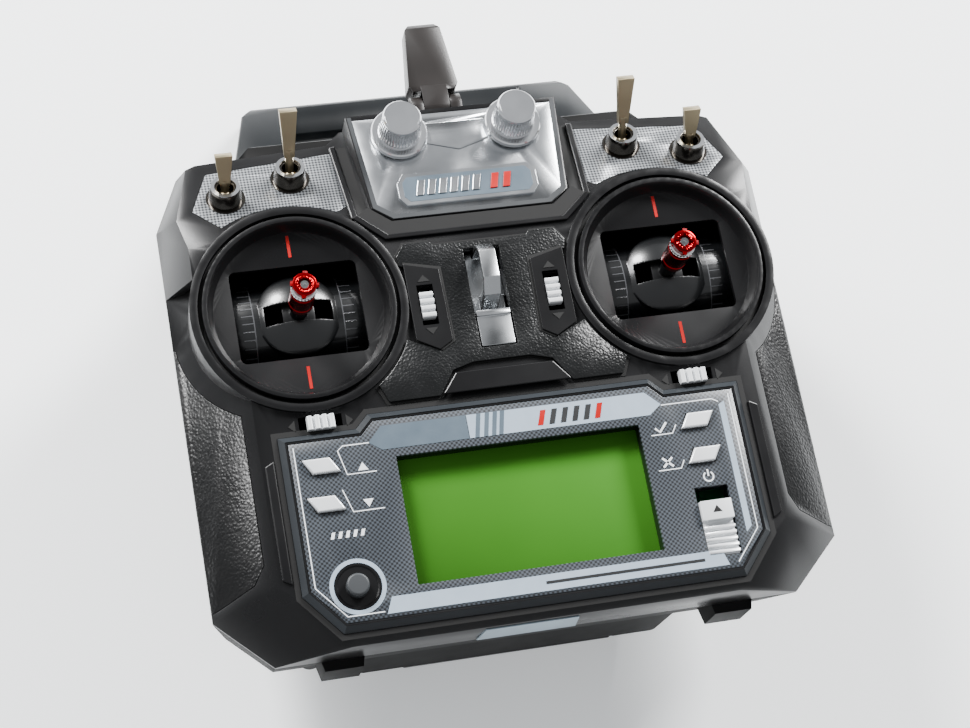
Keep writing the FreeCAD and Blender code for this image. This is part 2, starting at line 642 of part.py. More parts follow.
def stick_drum(side):
    tube = cut(rod_x(-DRUM_HALF, DRUM_HALF, 0, PIVOT_Z, DRUM_R),
               rod_x(-DRUM_HALF + DRUM_WALL, DRUM_HALF - DRUM_WALL, 0, PIVOT_Z, DRUM_R - DRUM_WALL))
    tube = cut(tube, rod(0, 0, PIVOT_Z, PIVOT_Z + 30, DOME_EDGE_R - 1.2))
    skirt = cut(rod(0, 0, PIVOT_Z + 7.0, PIVOT_Z + 14.6, DOME_EDGE_R), rod(0, 0, -60, 20, DOME_EDGE_R - 1.2))
    dome = cut(ball(0, 0, PIVOT_Z, DOME_R), ball(0, 0, PIVOT_Z, DOME_R - DOME_WALL))
    dome = dome.common(rod(0, 0, PIVOT_Z + 9, 20, DOME_EDGE_R))
    cheeks = [box(-4, 4, y0, y0 + 1.9, PIVOT_Z - 3, PIVOT_Z + 10) for y0 in (-10.3, 8.4)]
    body = fuse(tube, skirt.common(ball(0, 0, PIVOT_Z, DOME_R)), dome, *cheeks)
    reach = side * (DRUM_HALF + 3.4)
    body = cut(body, box(-60, 60, -60, 60, -80, PIVOT_Z - 3.0))
    body = fuse(body, rod_x(-DRUM_HALF - 3.0, -DRUM_HALF + 1, 0, PIVOT_Z, TRUNNION_R),
                rod_x(DRUM_HALF - 1, DRUM_HALF + 3.0, 0, PIVOT_Z, TRUNNION_R))
    slot = fuse(box(-9.4, 9.4, -2.9, 2.9, PIVOT_Z + 10, 20))
    return cut(body, slot, rod_y(0, -12, 12, PIVOT_Z, PIN_R + RUN))


def stick_slider():
    band = cut(ball(0, 0, PIVOT_Z, DOME_R - DOME_WALL - MOVE), ball(0, 0, PIVOT_Z, DOME_R - DOME_WALL - MOVE - 1.4))
    band = band.common(box(-BAND_HALF, BAND_HALF, -BAND_Y, BAND_Y, PIVOT_Z, 20))
    return fuse(band, rod_y(0, -8.1, 8.1, PIVOT_Z, 2.9), rod_y(0, -10.3, 10.3, PIVOT_Z, PIN_R),
                rod(0, 0, PIVOT_Z, 2.0, 2.4), rod(0, 0, 2.0, 12.0, 1.5))


def stick_sleeve():
    return cut(rod(0, 0, 2.0, 12.6, 3.4), rod(0, 0, 1.0, 12.0, 1.5))


def stick_crown():
    """Notched cap over a knurled ring."""
    crown = fuse(rod(0, 0, 12.6, 13.8, 3.5), cone(0, 0, 13.8, STICK_TOP, 3.2, 3.9))
    notches = [turn_about(box(2.6, 5, -0.5, 0.5, 15.0, STICK_TOP + 1), 0, 0, a) for a in range(0, 360, 45)]
    return cut(crown, cone(0, 0, STICK_TOP - 0.9, STICK_TOP + 0.01, 2.2, 2.7), *notches)


def pitch_pot(side):
    """Angle sensor on the inner end of the drum's axle."""
    x0, x1 = DRUM_HALF + 3.3, DRUM_HALF + 9.5
    body = box(x0, x1, -6, 6, PIVOT_Z - 7, UNIT_END - 2.1)
    return body if side < 0 else mirrored_x(body)


def centring_spring(side):
    helix = Part.makeHelix(1.0, 13.4, 1.8)
    section = Part.Wire(Part.makeCircle(0.3, V(1.8, 0, 0), Y_AXIS))
    coil = Part.Wire(helix.Edges).makePipeShell([section], True, False)
    coil.rotate(V(0, 0, 0), X_AXIS, -90)
    return moved(coil, side * (RIM_R + 0.2), -6.7, PIVOT_Z - 0.5)


# ================================================================ controls
def toggle_body():
    bush = cut(rod(0, 0, -3.4, 4.6, BUSH_R), rod(0, 0, -1.6, 5, 2.3 + RUN))
    return fuse(box(-4, 4, -4.8, 5.6, -11.5, -3.4), bush)


def toggle_nut():
    nut = cut(cone(0, 0, 0, NUT_HEIGHT, NUT_BASE_R, NUT_TOP_R), rod(0, 0, -1, 4.6, BUSH_R))
    return cut(nut, rod(0, 0, 4.0, 6, BUSH_R - 0.1))


LEVER_PIVOT = 0.9


def toggle_lever(length):
    neck = cone(0, 0, LEVER_PIVOT, length * 0.45, 1.05, 1.3)
    blade = loft([(-1.4, -1.0), (1.4, -1.0), (1.4, 1.0), (-1.4, 1.0)], length * 0.35,
                 [(-2.45, -1.1), (2.45, -1.1), (2.45, 1.1), (-2.45, 1.1)], length)
    knob = ball(0, 0, LEVER_PIVOT, 2.3).common(box(-1.6, 1.6, -5, 5, -5, 5))
    lever = fuse(knob, rod_x(-2.1, 2.1, 0, LEVER_PIVOT, 0.9), neck, blade)
    lever.rotate(V(0, 0, LEVER_PIVOT), X_AXIS, -LEVER_LEAN)
    return lever


def dial():
    knob = fuse(rod(0, 0, 0.3, 0.3 + DIAL_RING_HEIGHT, DIAL_RING_R),
                cone(0, 0, 0.3 + DIAL_RING_HEIGHT, 0.3 + DIAL_RING_HEIGHT + DIAL_HEIGHT, DIAL_BASE_R, DIAL_TOP_R))
    return fuse(knob, rod(0, 0, -6.0, 1.0, DIAL_SHAFT_R))


def dial_pot():
    return cut(box(-6.5, 6.5, -4.9, 4.9, -11.5, -3.4), rod(0, 0, -6.3, 0, DIAL_SHAFT_R + RUN))


def trim_rocker(x, y, upright):
    w, h = TRIM_W / 2, TRIM_L / 2
    rocker = fuse(box(x - w, x + w, y - h, y + h, TRIM_TOP_Z - 2.6, TRIM_TOP_Z),
                  box(x - 1.6, x + 1.6, y - 1.5, y + 1.5, TRIM_PIVOT_Z, TRIM_TOP_Z - 2.0),
                  rod_x(x - 2.1, x + 2.1, y, TRIM_PIVOT_Z, 1.8), rod_x(x - 3.2, x + 3.2, y, TRIM_PIVOT_Z, 1.0))
    return rocker if upright else turn_about(rocker, x, y, 90)


def key(place):
    x, y = key_centre(*place)
    cap = prism(moved_outline(key_outline(0, place[0]), x, y), PANEL_Z - 2.4, KEY_TOP_Z)
    cap = softened(cap, 0.5, at_height(KEY_TOP_Z))
    return fuse(cap, rod(x, y, TACT_TOP + KEY_TRAVEL + 0.1, PANEL_Z - 2.0, 1.3))


def bind_key():
    x = -(PANEL_HALF - BIND_FROM_EDGE)
    cap = rod(x, BIND_Y, PANEL_Z - 4.0, PANEL_Z + BIND_LIFT, BIND_R)
    cap = softened(cap, 0.7, at_height(PANEL_Z + BIND_LIFT))
    return fuse(cap, rod(x, BIND_Y, TACT_TOP + KEY_TRAVEL + 0.1, PANEL_Z - 3.5, 1.3))


def power_slider():
    x, w = PANEL_HALF - POWER_FROM_EDGE, POWER_W / 2 - MOVE
    low = POWER_BOTTOM + MOVE
    high = POWER_TOP - POWER_TRAVEL - MOVE
    base = box(x - w, x + w, low, high, PANEL_Z - 2.6, PANEL_Z - 0.6)
    block = box(x - w, x + w, high - 5.6, high - 0.2, PANEL_Z - 1.0, PANEL_Z + 1.4)
    ribs = [box(x - w, x + w, low + 0.4 + 1.7 * i, low + 1.3 + 1.7 * i, PANEL_Z - 1.0, PANEL_Z + 0.2) for i in range(5)]
    return fuse(base, block, box(x - 1.4, x + 1.4, low + 5, low + 8, PANEL_Z - 8.6, PANEL_Z - 2.0), *ribs)


def power_switch():
    x, low = PANEL_HALF - POWER_FROM_EDGE, POWER_BOTTOM + MOVE
    return cut(box(x - 4, x + 4, low + 1, low + 15, BOARD_TOP, PANEL_Z - 5.4),
               box(x - 1.7, x + 1.7, low + 4.7, low + 8.3 + POWER_TRAVEL, PANEL_Z - 9.2, 0))


# ================================================================ antenna
def antenna_base():
    body = box(-12.8, 12.8, ANTENNA_BASE_LOW, ANTENNA_BASE_TOP, ANTENNA_Z - 7.0, ANTENNA_Z + 7.0)
    body = softened(body, 2.5, lambda e: e.BoundBox.YLength > 5 or (e.BoundBox.YMin > ANTENNA_BASE_TOP - 0.1
                                                                    and e.BoundBox.XLength < 1))
    return cut(body, rod_y(0, ANTENNA_BASE_LOW - 1, 140, ANTENNA_Z, 3.6 + RUN))


def antenna_knuckle():
    """Turns in the base and carries the paddle between two ears."""
    ears = fuse(rod_x(-7.4, 7.4, HINGE_Y, ANTENNA_Z, EAR_R),
                box(-7.4, 7.4, ANTENNA_BASE_TOP + 0.2, HINGE_Y, ANTENNA_Z - EAR_R, ANTENNA_Z + EAR_R))
    ears = cut(ears, box(-3.9 - 0.15, 3.9 + 0.15, ANTENNA_BASE_TOP - 0.01, 130, -90, 30))
    plug = rod_y(0, ANTENNA_BASE_LOW + 0.5, ANTENNA_BASE_TOP + 0.2, ANTENNA_Z, 3.6)
    bridge = box(-7.4, 7.4, ANTENNA_BASE_TOP + 0.2, HINGE_Y - EAR_R - 0.05, ANTENNA_Z - 3.6, ANTENNA_Z + 3.6)
    return cut(fuse(ears, plug, bridge), rod_x(-9, 9, HINGE_Y, ANTENNA_Z, PIN_R))


def antenna_paddle():
    tongue = fuse(rod_x(-3.9, 3.9, HINGE_Y, ANTENNA_Z, EAR_R - 0.1),
                  box(-3.9, 3.9, HINGE_Y, HINGE_Y + EAR_R + 2, ANTENNA_Z - EAR_R + 0.1, ANTENNA_Z + EAR_R - 0.1))
    y0, y1, z = HINGE_Y + EAR_R + 0.4, PADDLE_TOP, ANTENNA_Z
    plan = both_sides([(6.2, y0), (7.4, y0 + 2.0), (5.4, y1 - 2.0), (4.0, y1)])
    profile = [(y0, z - 4.0), (y0, z + 4.0), (y1 - 1.5, z + 3.0), (y1, z + 1.8), (y1, z - 2.4), (y1 - 1, z - 3.2)]
    blade = prism(plan, z - 10, z + 10).common(prism_x(profile, -20, 20))
    return cut(fuse(tongue, blade), rod_x(-9, 9, HINGE_Y, ANTENNA_Z, PIN_R + RUN))


# ================================================================ inside
def battery_door():
    door = box(-DOOR_HALF, DOOR_HALF, HUMP_LOW + 0.2, DOOR_HIGH, HUMP_Z, HUMP_Z + DOOR_THICK)
    ribs = [box(-9, 9, -4 + 2.4 * i, -2.8 + 2.4 * i, HUMP_Z - 0.6, HUMP_Z + 0.5) for i in range(4)]
    return fuse(door, *ribs)


def battery_tray():
    low, high = CELLS_LOW - 1.6, CELLS_LOW + CELL_LENGTH + 1.6
    half = CELL_PITCH * 2 + 0.4
    floor = HUMP_Z + REAR_WALL
    tray = fuse(box(-half - 1.4, half + 1.4, low - 1.4, high + 1.4, floor, CELL_Z + CELL_R + 2.0),
                box(-DOOR_HALF - 5, DOOR_HALF + 5, low + 16, high - 12, floor, floor + 1.6))
    corner = prism_x([(HUMP_LOW + 3.0, HUMP_Z + 2.0), (HUMP_LOW + 6.0, HUMP_Z + 2.0), (HUMP_LOW + 3.0, HUMP_Z + 5.0)],
                     -60, 60)
    return cut(tray, box(-half, half, low, high, CELL_Z - 30, CELL_Z + CELL_R + 0.15), corner)


def battery_contacts():
    low, high = CELLS_LOW - 1.6, CELLS_LOW + CELL_LENGTH
    return [box(CELL_PITCH * (i - 1.5) - 3.5, CELL_PITCH * (i - 1.5) + 3.5, y, y + 1.6, CELL_Z - 3.5, CELL_Z + 3.5)
            for i in range(4) for y in (low, high)]


def battery_cells():
    cells = []
    for i in range(4):
        x = CELL_PITCH * (i - 1.5)
        y0, y1 = CELLS_LOW, CELLS_LOW + CELL_LENGTH
        if i % 2:
            cell = fuse(rod_y(x, y0 + 1.2, y1, CELL_Z, CELL_R), rod_y(x, y0, y0 + 1.3, CELL_Z, 2.7))
        else:
            cell = fuse(rod_y(x, y0, y1 - 1.2, CELL_Z, CELL_R), rod_y(x, y1 - 1.3, y1, CELL_Z, 2.7))
        cells.append(cell)
    return cells


def main_board():
    board = box(-PANEL_HALF + 4, PANEL_HALF - 4, -43.0, 2.0, BOARD_TOP - 1.6, BOARD_TOP)
    return cut(board, *[rod(x, y, -30, 0, 1.5) for x, y in board_posts()])


def case_screw(x, y):
    return fuse(rod(x, y, BACK_Z + 2.0, PARTING_Z + 6.0, SCREW_R), rod(x, y, BACK_Z + 0.8, BACK_Z + 3.0, HEAD_R))


# ================================================================ assembly
def add(name, *solids):
    parts[name] = solids[0] if len(solids) == 1 else Part.makeCompound(list(solids))


def build():
    add("front_shell", front_shell())
    add("rear_shell", rear_shell())
    add("carry_handle", carry_handle())
    grip = grip_skin(0)
    add("right_grip", grip)
    add("left_grip", mirrored_x(grip))
    add("centre_plate", centre_plate())
    add("display_panel", display_panel())
    add("lcd_glass", box(-LCD_HALF - 1.5, LCD_HALF + 1.5, LCD_BOTTOM - 1.5, LCD_TOP + 1.5, LCD_Z - 1.2, LCD_Z))
    add("lcd_module", box(-LCD_HALF - 2.5, LCD_HALF + 2.5, LCD_BOTTOM - 2.0, LCD_TOP + 2.0, BOARD_TOP, LCD_Z - 1.2))
    add("pod_plate", cut(plate_on_pod(inset(pod_outline(), 1.2 + FIT), 0, -PLATE_THICK),
                         *[on_pod(rod(0, 0, -9, 9, DIAL_SHAFT_R + 0.3), s * DIAL_X, DIAL_Y) for s in (-1, 1)]))
    add("badge_plate", plate_on_pod(badge_outline(), 0.9, 0))
    holes = [on_slope(rod(0, 0, -9, 9, BUSH_R + 0.1), x, y) for x, y, _ in switch_places().values()]
    plate = plate_on_slope(switch_plate_outline(), 0, -PLATE_THICK)
    add("right_switch_plate", cut(plate, *holes))
    add("left_switch_plate", cut(mirrored_x(plate), *holes))
    add("strap_hook", strap_hook())
    add("nameplate", nameplate())
    add("rubber_feet", *[rod(x, y, REST_Z, REST_Z + FOOT_HEIGHT, FOOT_R) for x, y in foot_places()])
    add("case_screws", *[case_screw(s * x, y) for x, y in SCREWS for s in (-1, 1)])
    for name, side in (("left", -1), ("right", 1)):
        pieces = {"stick_housing": stick_housing(side), "stick_drum": stick_drum(side),
                  "stick_slider": stick_slider(), "stick_sleeve": stick_sleeve(), "stick_crown": stick_crown()}
        for piece, shape in pieces.items():
            add(name + "_" + piece, moved(shape, side * STICK_X, STICK_Y, 0))
    add("angle_sensors", *([moved(pitch_pot(s), s * STICK_X, STICK_Y, 0) for s in (-1, 1)]
                           + [on_pod(dial_pot(), s * DIAL_X, DIAL_Y) for s in (-1, 1)]))
    add("centring_springs", *[moved(centring_spring(s), s * STICK_X, STICK_Y, 0) for s in (-1, 1)])
    bodies, nuts = [], []
    for name, (x, y, length) in switch_places().items():
        bodies.append(on_slope(toggle_body(), x, y))
        nuts.append(on_slope(toggle_nut(), x, y))
        add(name + "_toggle", on_slope(toggle_lever(length), x, y))
    add("toggle_bodies", *bodies)
    add("toggle_nuts", *nuts)
    add("left_dial", on_pod(dial(), -DIAL_X, DIAL_Y))
    add("right_dial", on_pod(dial(), DIAL_X, DIAL_Y))
    for name, place in trim_places().items():
        add(name, trim_rocker(*place))
    for name, place in KEYS.items():
        add(name, key(place))
    add("bind_key", bind_key())
    spots = [key_centre(*p) for p in KEYS.values()] + [(-(PANEL_HALF - BIND_FROM_EDGE), BIND_Y)]
    add("tact_switches", *[box(x - 3, x + 3, y - 3, y + 3, BOARD_TOP, TACT_TOP) for x, y in spots])
    add("power_slider", power_slider())
    add("power_switch", power_switch())
    add("antenna_base", antenna_base())
    add("antenna_knuckle", antenna_knuckle())
    add("antenna_pin", rod_x(-7.4, 7.4, HINGE_Y, ANTENNA_Z, PIN_R))
    add("antenna_paddle", antenna_paddle())
    add("main_board", main_board())
    add("radio_module", box(-22, 22, 58.0, 80.0, BACK_Z + REAR_WALL, BACK_Z + REAR_WALL + 6))
    add("battery_tray", battery_tray())
    add("battery_cells", *battery_cells())
    add("battery_contacts", *battery_contacts())
    add("battery_door", battery_door())
    add("trainer_socket", cut(rod_y(SOCKET_X, BODY_TOP - 3.4, SHOULDER_TOP - 0.6, SOCKET_Z, SOCKET_R),
                              rod_y(SOCKET_X, BODY_TOP + 1, SHOULDER_TOP + 1, SOCKET_Z, SOCKET_R - 1.2)))


def export():
    """Moves everything so that it lies on Z = 0, centred on the origin, and writes the files."""
    box_all = None
    for shape in parts.values():
        box_all = shape.BoundBox if box_all is None else box_all
        box_all.add(shape.BoundBox)
    shift = V(-box_all.Center.x, -box_all.Center.y, -box_all.ZMin)
    os.makedirs("parts", exist_ok=True)
    for name, shape in parts.items():
        shape.translate(shift)
        shape.exportStep("parts/" + name + ".step")
        print("%-22s %d solid(s) valid=%s volume %.0f" % (name, len(shape.Solids), shape.isValid(), shape.Volume))
    print("moved by", tuple(round(c, 3) for c in shift), "size", round(box_all.XLength, 2),
          round(box_all.YLength, 2), round(box_all.ZLength, 2))


build()
export()
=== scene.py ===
# %% [markdown]
# # A radio-control transmitter, dressed for its portrait
# The engineering model is already built: every shell, key and lever is a closed solid in its right place.
# This lesson gives those solids their finishes, swaps the plain ones for detailed pieces, and lights them.
# Everything is in metres and shares one frame: +Z comes out of the control face, +Y points to the antenna.

# %% Load the engineering model
import bpy
import json
import math
from mathutils import Matrix, Vector


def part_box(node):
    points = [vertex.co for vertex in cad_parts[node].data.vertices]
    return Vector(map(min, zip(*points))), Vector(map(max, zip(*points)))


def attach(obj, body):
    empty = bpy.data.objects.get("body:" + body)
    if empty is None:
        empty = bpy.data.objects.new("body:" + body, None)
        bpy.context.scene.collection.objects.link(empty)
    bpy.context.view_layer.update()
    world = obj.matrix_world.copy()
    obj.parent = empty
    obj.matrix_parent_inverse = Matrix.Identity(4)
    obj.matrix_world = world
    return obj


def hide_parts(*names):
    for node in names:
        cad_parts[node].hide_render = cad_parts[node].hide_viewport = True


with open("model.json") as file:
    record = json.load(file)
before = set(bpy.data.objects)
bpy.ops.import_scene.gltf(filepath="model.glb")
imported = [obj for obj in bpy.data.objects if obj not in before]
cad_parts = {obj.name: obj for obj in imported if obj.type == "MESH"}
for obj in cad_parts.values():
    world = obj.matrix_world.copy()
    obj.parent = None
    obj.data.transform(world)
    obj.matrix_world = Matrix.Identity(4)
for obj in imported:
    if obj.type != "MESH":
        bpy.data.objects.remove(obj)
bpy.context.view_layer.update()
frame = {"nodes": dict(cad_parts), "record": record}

nodes = frame["nodes"]
MM = 0.001
print(len(nodes), "nodes loaded")

# %% [markdown]
# Distances on a control face are easiest to think of from the face itself, so a short function turns
# millimetres on the face into metres in the scene.  Its origin is taken from the left stick unit: the
# height of its rim is the height of the face, and its centre is 40 mm up.

# %% Millimetres on the face
rim_low, rim_high = (Vector(c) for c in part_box("left_stick_housing"))
FACE = Vector((0, (rim_low.y + rim_high.y) / 2 - 40 * MM, rim_high.z))
STICK_X = -(rim_low.x + rim_high.x) / 2 / MM


def face(x, y, z=0.0):
    return FACE + Vector((x, y, z)) * MM


print("face origin", tuple(round(c, 4) for c in FACE), "stick units at +-", round(STICK_X, 2), "mm")

# %% [markdown]
# ## Finishes
# A finish starts as one Principled shader.  Its colour is written as an sRGB hex value, as a paint maker
# would give it, and turned to linear light once.  One small function adds a node, fills in its sockets
# and links them, and every pattern below is made of such nodes.

# %% Helpers for finishes
def colour(code):
    channels = [int(code[i:i + 2], 16) / 255 for i in (1, 3, 5)]
    return [c / 12.92 if c <= 0.04045 else ((c + 0.055) / 1.055) ** 2.4 for c in channels] + [1.0]


def node(material, kind, inputs=None, **settings):
    made = material.node_tree.nodes.new(kind)
    for key, value in settings.items():
        setattr(made, key, value)
    for key, value in (inputs or {}).items():
        if isinstance(value, bpy.types.NodeSocket):
            material.node_tree.links.new(value, made.inputs[key])
        else:
            made.inputs[key].default_value = value
    return made


def finish(name, base, roughness, metallic=0.0, coat=0.0, ior=1.5):
    material = bpy.data.materials.new(name)
    material.use_nodes = True
    shader = material.node_tree.nodes["Principled BSDF"]
    settings = {"Base Color": colour(base), "Roughness": roughness, "Metallic": metallic, "Coat Weight": coat}
    if not metallic:
        settings["IOR"] = ior
    for key, value in settings.items():
        shader.inputs[key].default_value = value
    place = node(material, "ShaderNodeTexCoord").outputs["Object"]
    return material, shader, place


def plug(material, socket, target):
    material.node_tree.links.new(socket, target)


def uneven(material, shader, place, light, dark, size_mm, rough=(0.4, 0.6)):
    """Colour and gloss that drift across the surface, as they do where hands have polished it."""
    drift = node(material, "ShaderNodeTexNoise",
                 {"Vector": place, "Scale": 1 / (size_mm * MM), "Detail": 3.0})
    mix = node(material, "ShaderNodeMix",
               {"Factor": drift.outputs["Fac"], "A": colour(dark), "B": colour(light)}, data_type="RGBA")
    plug(material, mix.outputs["Result"], shader.inputs["Base Color"])
    gloss = node(material, "ShaderNodeMapRange", {"Value": drift.outputs["Fac"], "From Min": 0.3, "From Max": 0.7,
                                                  "To Min": rough[0], "To Max": rough[1]})
    plug(material, gloss.outputs["Result"], shader.inputs["Roughness"])
    return mix


def relief(material, shader, height, depth_mm, strength=1.0):
    bump = node(material, "ShaderNodeBump",
                {"Height": height, "Distance": depth_mm * MM, "Strength": strength})
    plug(material, bump.outputs["Normal"], shader.inputs["Normal"])
    return bump


finishes = {}

# %% [markdown]
# The shells are charcoal ABS, injection moulded in a tool with a fine spark-eroded skin.  That skin is what
# keeps them satin: close up it is a grain of about a third of a millimetre, far off only a soft sheen.

# %% Moulded ABS: shells, handle, antenna
def moulded_abs(name, light, dark, grain_mm=0.35, depth_mm=0.02, rough=(0.40, 0.50), ior=1.34):
    material, shader, place = finish(name, light, 0.5, ior=ior)
    uneven(material, shader, place, light, dark, 22.0, rough)
    grain = node(material, "ShaderNodeTexNoise",
                 {"Vector": place, "Scale": 1 / (grain_mm * MM), "Detail": 2.0})
    relief(material, shader, grain.outputs["Fac"], depth_mm, 0.5)
    return material


finishes["case"] = moulded_abs("abs_moulded_charcoal", "#0e0e0f", "#0a0a0b", rough=(0.26, 0.34))
finishes["handle"] = moulded_abs("abs_moulded_blue_grey", "#0f1214", "#0b0d0f", rough=(0.28, 0.36))
finishes["antenna"] = moulded_abs("abs_moulded_warm_grey", "#1f1c1b", "#181615", rough=(0.28, 0.36))
finishes["base"] = moulded_abs("abs_moulded_mid_grey", "#323436", "#292b2d")
finishes["rim"] = moulded_abs("abs_moulded_satin_frame", "#25282b", "#1e2124", rough=(0.30, 0.38))
finishes["key"] = moulded_abs("abs_moulded_black", "#0a0a0b", "#060607", rough=(0.25, 0.35))
# The rear shell's darker colour is painted shade; its rougher, duller skin keeps it from mirroring the floor.
finishes["rear"] = moulded_abs("abs_moulded_black_rear_painted_shade", "#070707", "#050505", rough=(0.55, 0.65), ior=1.2)
finishes["module"] = moulded_abs("abs_moulded_white_frame", "#b8b8b4", "#a6a6a2")
print("ABS finishes:", [k for k in finishes])

# %% [markdown]
# The side grips are a soft-touch skin moulded with pebbles like leather, about 0.8 mm apart.  Cells of a
# Voronoi pattern are rounded stones of the right kind; the centre plate has the same idea, a little finer.

# %% Pebbled grip and coarse grain
def pebbled(name, light, dark, stone_mm, depth_mm, rough):
    material, shader, place = finish(name, light, 0.5, ior=1.38)
    uneven(material, shader, place, light, dark, 9.0, rough)
    warp = node(material, "ShaderNodeTexNoise",
                {"Vector": place, "Scale": 0.7 / (stone_mm * MM), "Detail": 1.0})
    shifted = node(material, "ShaderNodeVectorMath", {0: warp.outputs["Color"], 1: (0.3 * stone_mm * MM,) * 3},
                   operation="MULTIPLY")
    spot = node(material, "ShaderNodeVectorMath", {0: place, 1: shifted.outputs["Vector"]}, operation="ADD")
    stones = node(material, "ShaderNodeTexVoronoi",
                  {"Vector": spot.outputs["Vector"], "Scale": 1 / (stone_mm * MM)}, feature="SMOOTH_F1")
    high = node(material, "ShaderNodeMapRange", {"Value": stones.outputs["Distance"], "From Min": 0.15,
                                                 "From Max": 0.75, "To Min": 1.0, "To Max": 0.0})
    relief(material, shader, high.outputs["Result"], depth_mm)
    return material


finishes["grip"] = pebbled("soft_touch_pebbled_black", "#090909", "#050506", 0.75, 0.08, (0.28, 0.36))
finishes["grain"] = pebbled("abs_coarse_grained", "#0d0e0f", "#080909", 0.6, 0.07, (0.28, 0.36))
finishes["rubber"] = pebbled("nitrile_rubber_moulded", "#1a1a1a", "#131313", 0.6, 0.04, (0.6, 0.75))

# %% [markdown]
# The overlay round the display is a printed sheet with a woven look: little light and dark squares about
# 1.3 mm apart.  Two sine waves, one along each thread, multiply to such squares.  A wave texture repeats
# every tau/20 of its scaled length, which is why that number is in the scale.

# %% Woven prints
def woven(name, light, dark, pitch_mm, rough, metallic=0.0, turn=0.0, coat=0.0):
    material, shader, place = finish(name, light, rough, metallic, coat=coat)
    turned = node(material, "ShaderNodeMapping", {"Vector": place, "Rotation": (0, 0, turn)})
    waves = [node(material, "ShaderNodeTexWave", {"Vector": turned.outputs["Vector"],
                                                  "Scale": math.tau / 20 / (pitch_mm * MM)},
                  wave_type="BANDS", bands_direction=way) for way in "XY"]
    centred = [node(material, "ShaderNodeMath", {0: w.outputs["Fac"], 1: 0.5}, operation="SUBTRACT")
               for w in waves]
    squares = node(material, "ShaderNodeMath", {0: centred[0].outputs[0], 1: centred[1].outputs[0]},
                   operation="MULTIPLY")
    spread = node(material, "ShaderNodeMapRange",
                  {"Value": squares.outputs[0], "From Min": -0.14, "From Max": 0.14})
    tones = node(material, "ShaderNodeMix", {"Factor": spread.outputs["Result"], "A": colour(dark),
                                             "B": colour(light)}, data_type="RGBA")
    plug(material, tones.outputs["Result"], shader.inputs["Base Color"])
    relief(material, shader, spread.outputs["Result"], 0.02, 0.4)
    return material


finishes["panel"] = woven("polycarbonate_printed_weave", "#3a4047", "#07080b", 1.3, 0.4, coat=0.1)
finishes["weave"] = woven("polycarbonate_silver_weave", "#8a8d90", "#1e2023", 1.3, 0.34, 0.35, math.radians(45))

# %% [markdown]
# Metals take their colour from what they reflect, so each keeps the default IOR and differs by colour and
# by the direction of its fine scratches.  Bright plate is nearly a mirror; nickel is
# warmer and duller; silver paint is only a third metal.

# %% Plated, brushed and anodised metals
def worked_metal(name, light, dark, rough, stretch=(1, 1, 1), grit_mm=0.5, depth_mm=0.01, metallic=1.0):
    material, shader, place = finish(name, light, 0.3, metallic)
    uneven(material, shader, place, light, dark, 14.0, rough)
    along = node(material, "ShaderNodeMapping", {"Vector": place, "Scale": stretch})
    lines = node(material, "ShaderNodeTexNoise", {"Vector": along.outputs["Vector"], "Scale": 1 / (grit_mm * MM),
                                                  "Detail": 3.0})
    relief(material, shader, lines.outputs["Fac"], depth_mm, 0.35)
    return material


finishes["chrome"] = worked_metal("abs_vacuum_metallised", "#bfc1c3", "#9ea1a4", (0.18, 0.30), grit_mm=0.6)
finishes["knob"] = worked_metal("aluminium_bright_turned", "#dcdddf", "#c4c6c8", (0.12, 0.2))
finishes["steel"] = worked_metal("steel_bent_and_polished", "#b9bbbd", "#9fa2a4", (0.20, 0.32), (1, 0.05, 1))
finishes["nut"] = worked_metal("black_nickel_plate", "#5b5853", "#46433f", (0.14, 0.22))
finishes["lever"] = worked_metal("nickel_silver_brushed", "#a3977c", "#867b64", (0.28, 0.40), (1, 1, 0.05), 0.3)
finishes["red"] = worked_metal("aluminium_anodised_red", "#a30412", "#7c030d", (0.18, 0.26))
finishes["screw"] = worked_metal("steel_blackened", "#3a3a3b", "#2d2d2e", (0.35, 0.45))
finishes["spring"] = worked_metal("spring_steel_drawn", "#a6a6a6", "#8d8d8d", (0.25, 0.35))
finishes["sticker"] = worked_metal("foil_label_satin", "#a9b9c3", "#95a6b1", (0.30, 0.42), (0.05, 1, 1))
finishes["contact"] = worked_metal("brass_nickel_plated", "#c8bfa0", "#b4ab8c", (0.25, 0.35))
finishes["silver"] = worked_metal("abs_silver_painted", "#dcdee0", "#cccfd1", (0.26, 0.34), metallic=0.3)
finishes["badge"] = worked_metal("abs_satin_metallised", "#a4a8ab", "#8f9396", (0.28, 0.36), (0.05, 1, 1))

# %% [markdown]
# The small things inside are finished as well, because the battery door opens and shows some of them.

# %% Display glass, boards, cells and labels
def printed(name, light, dark, rough=(0.30, 0.40), size_mm=6.0):
    material, shader, place = finish(name, light, 0.35, ior=1.35)
    uneven(material, shader, place, light, dark, size_mm, rough)
    return material


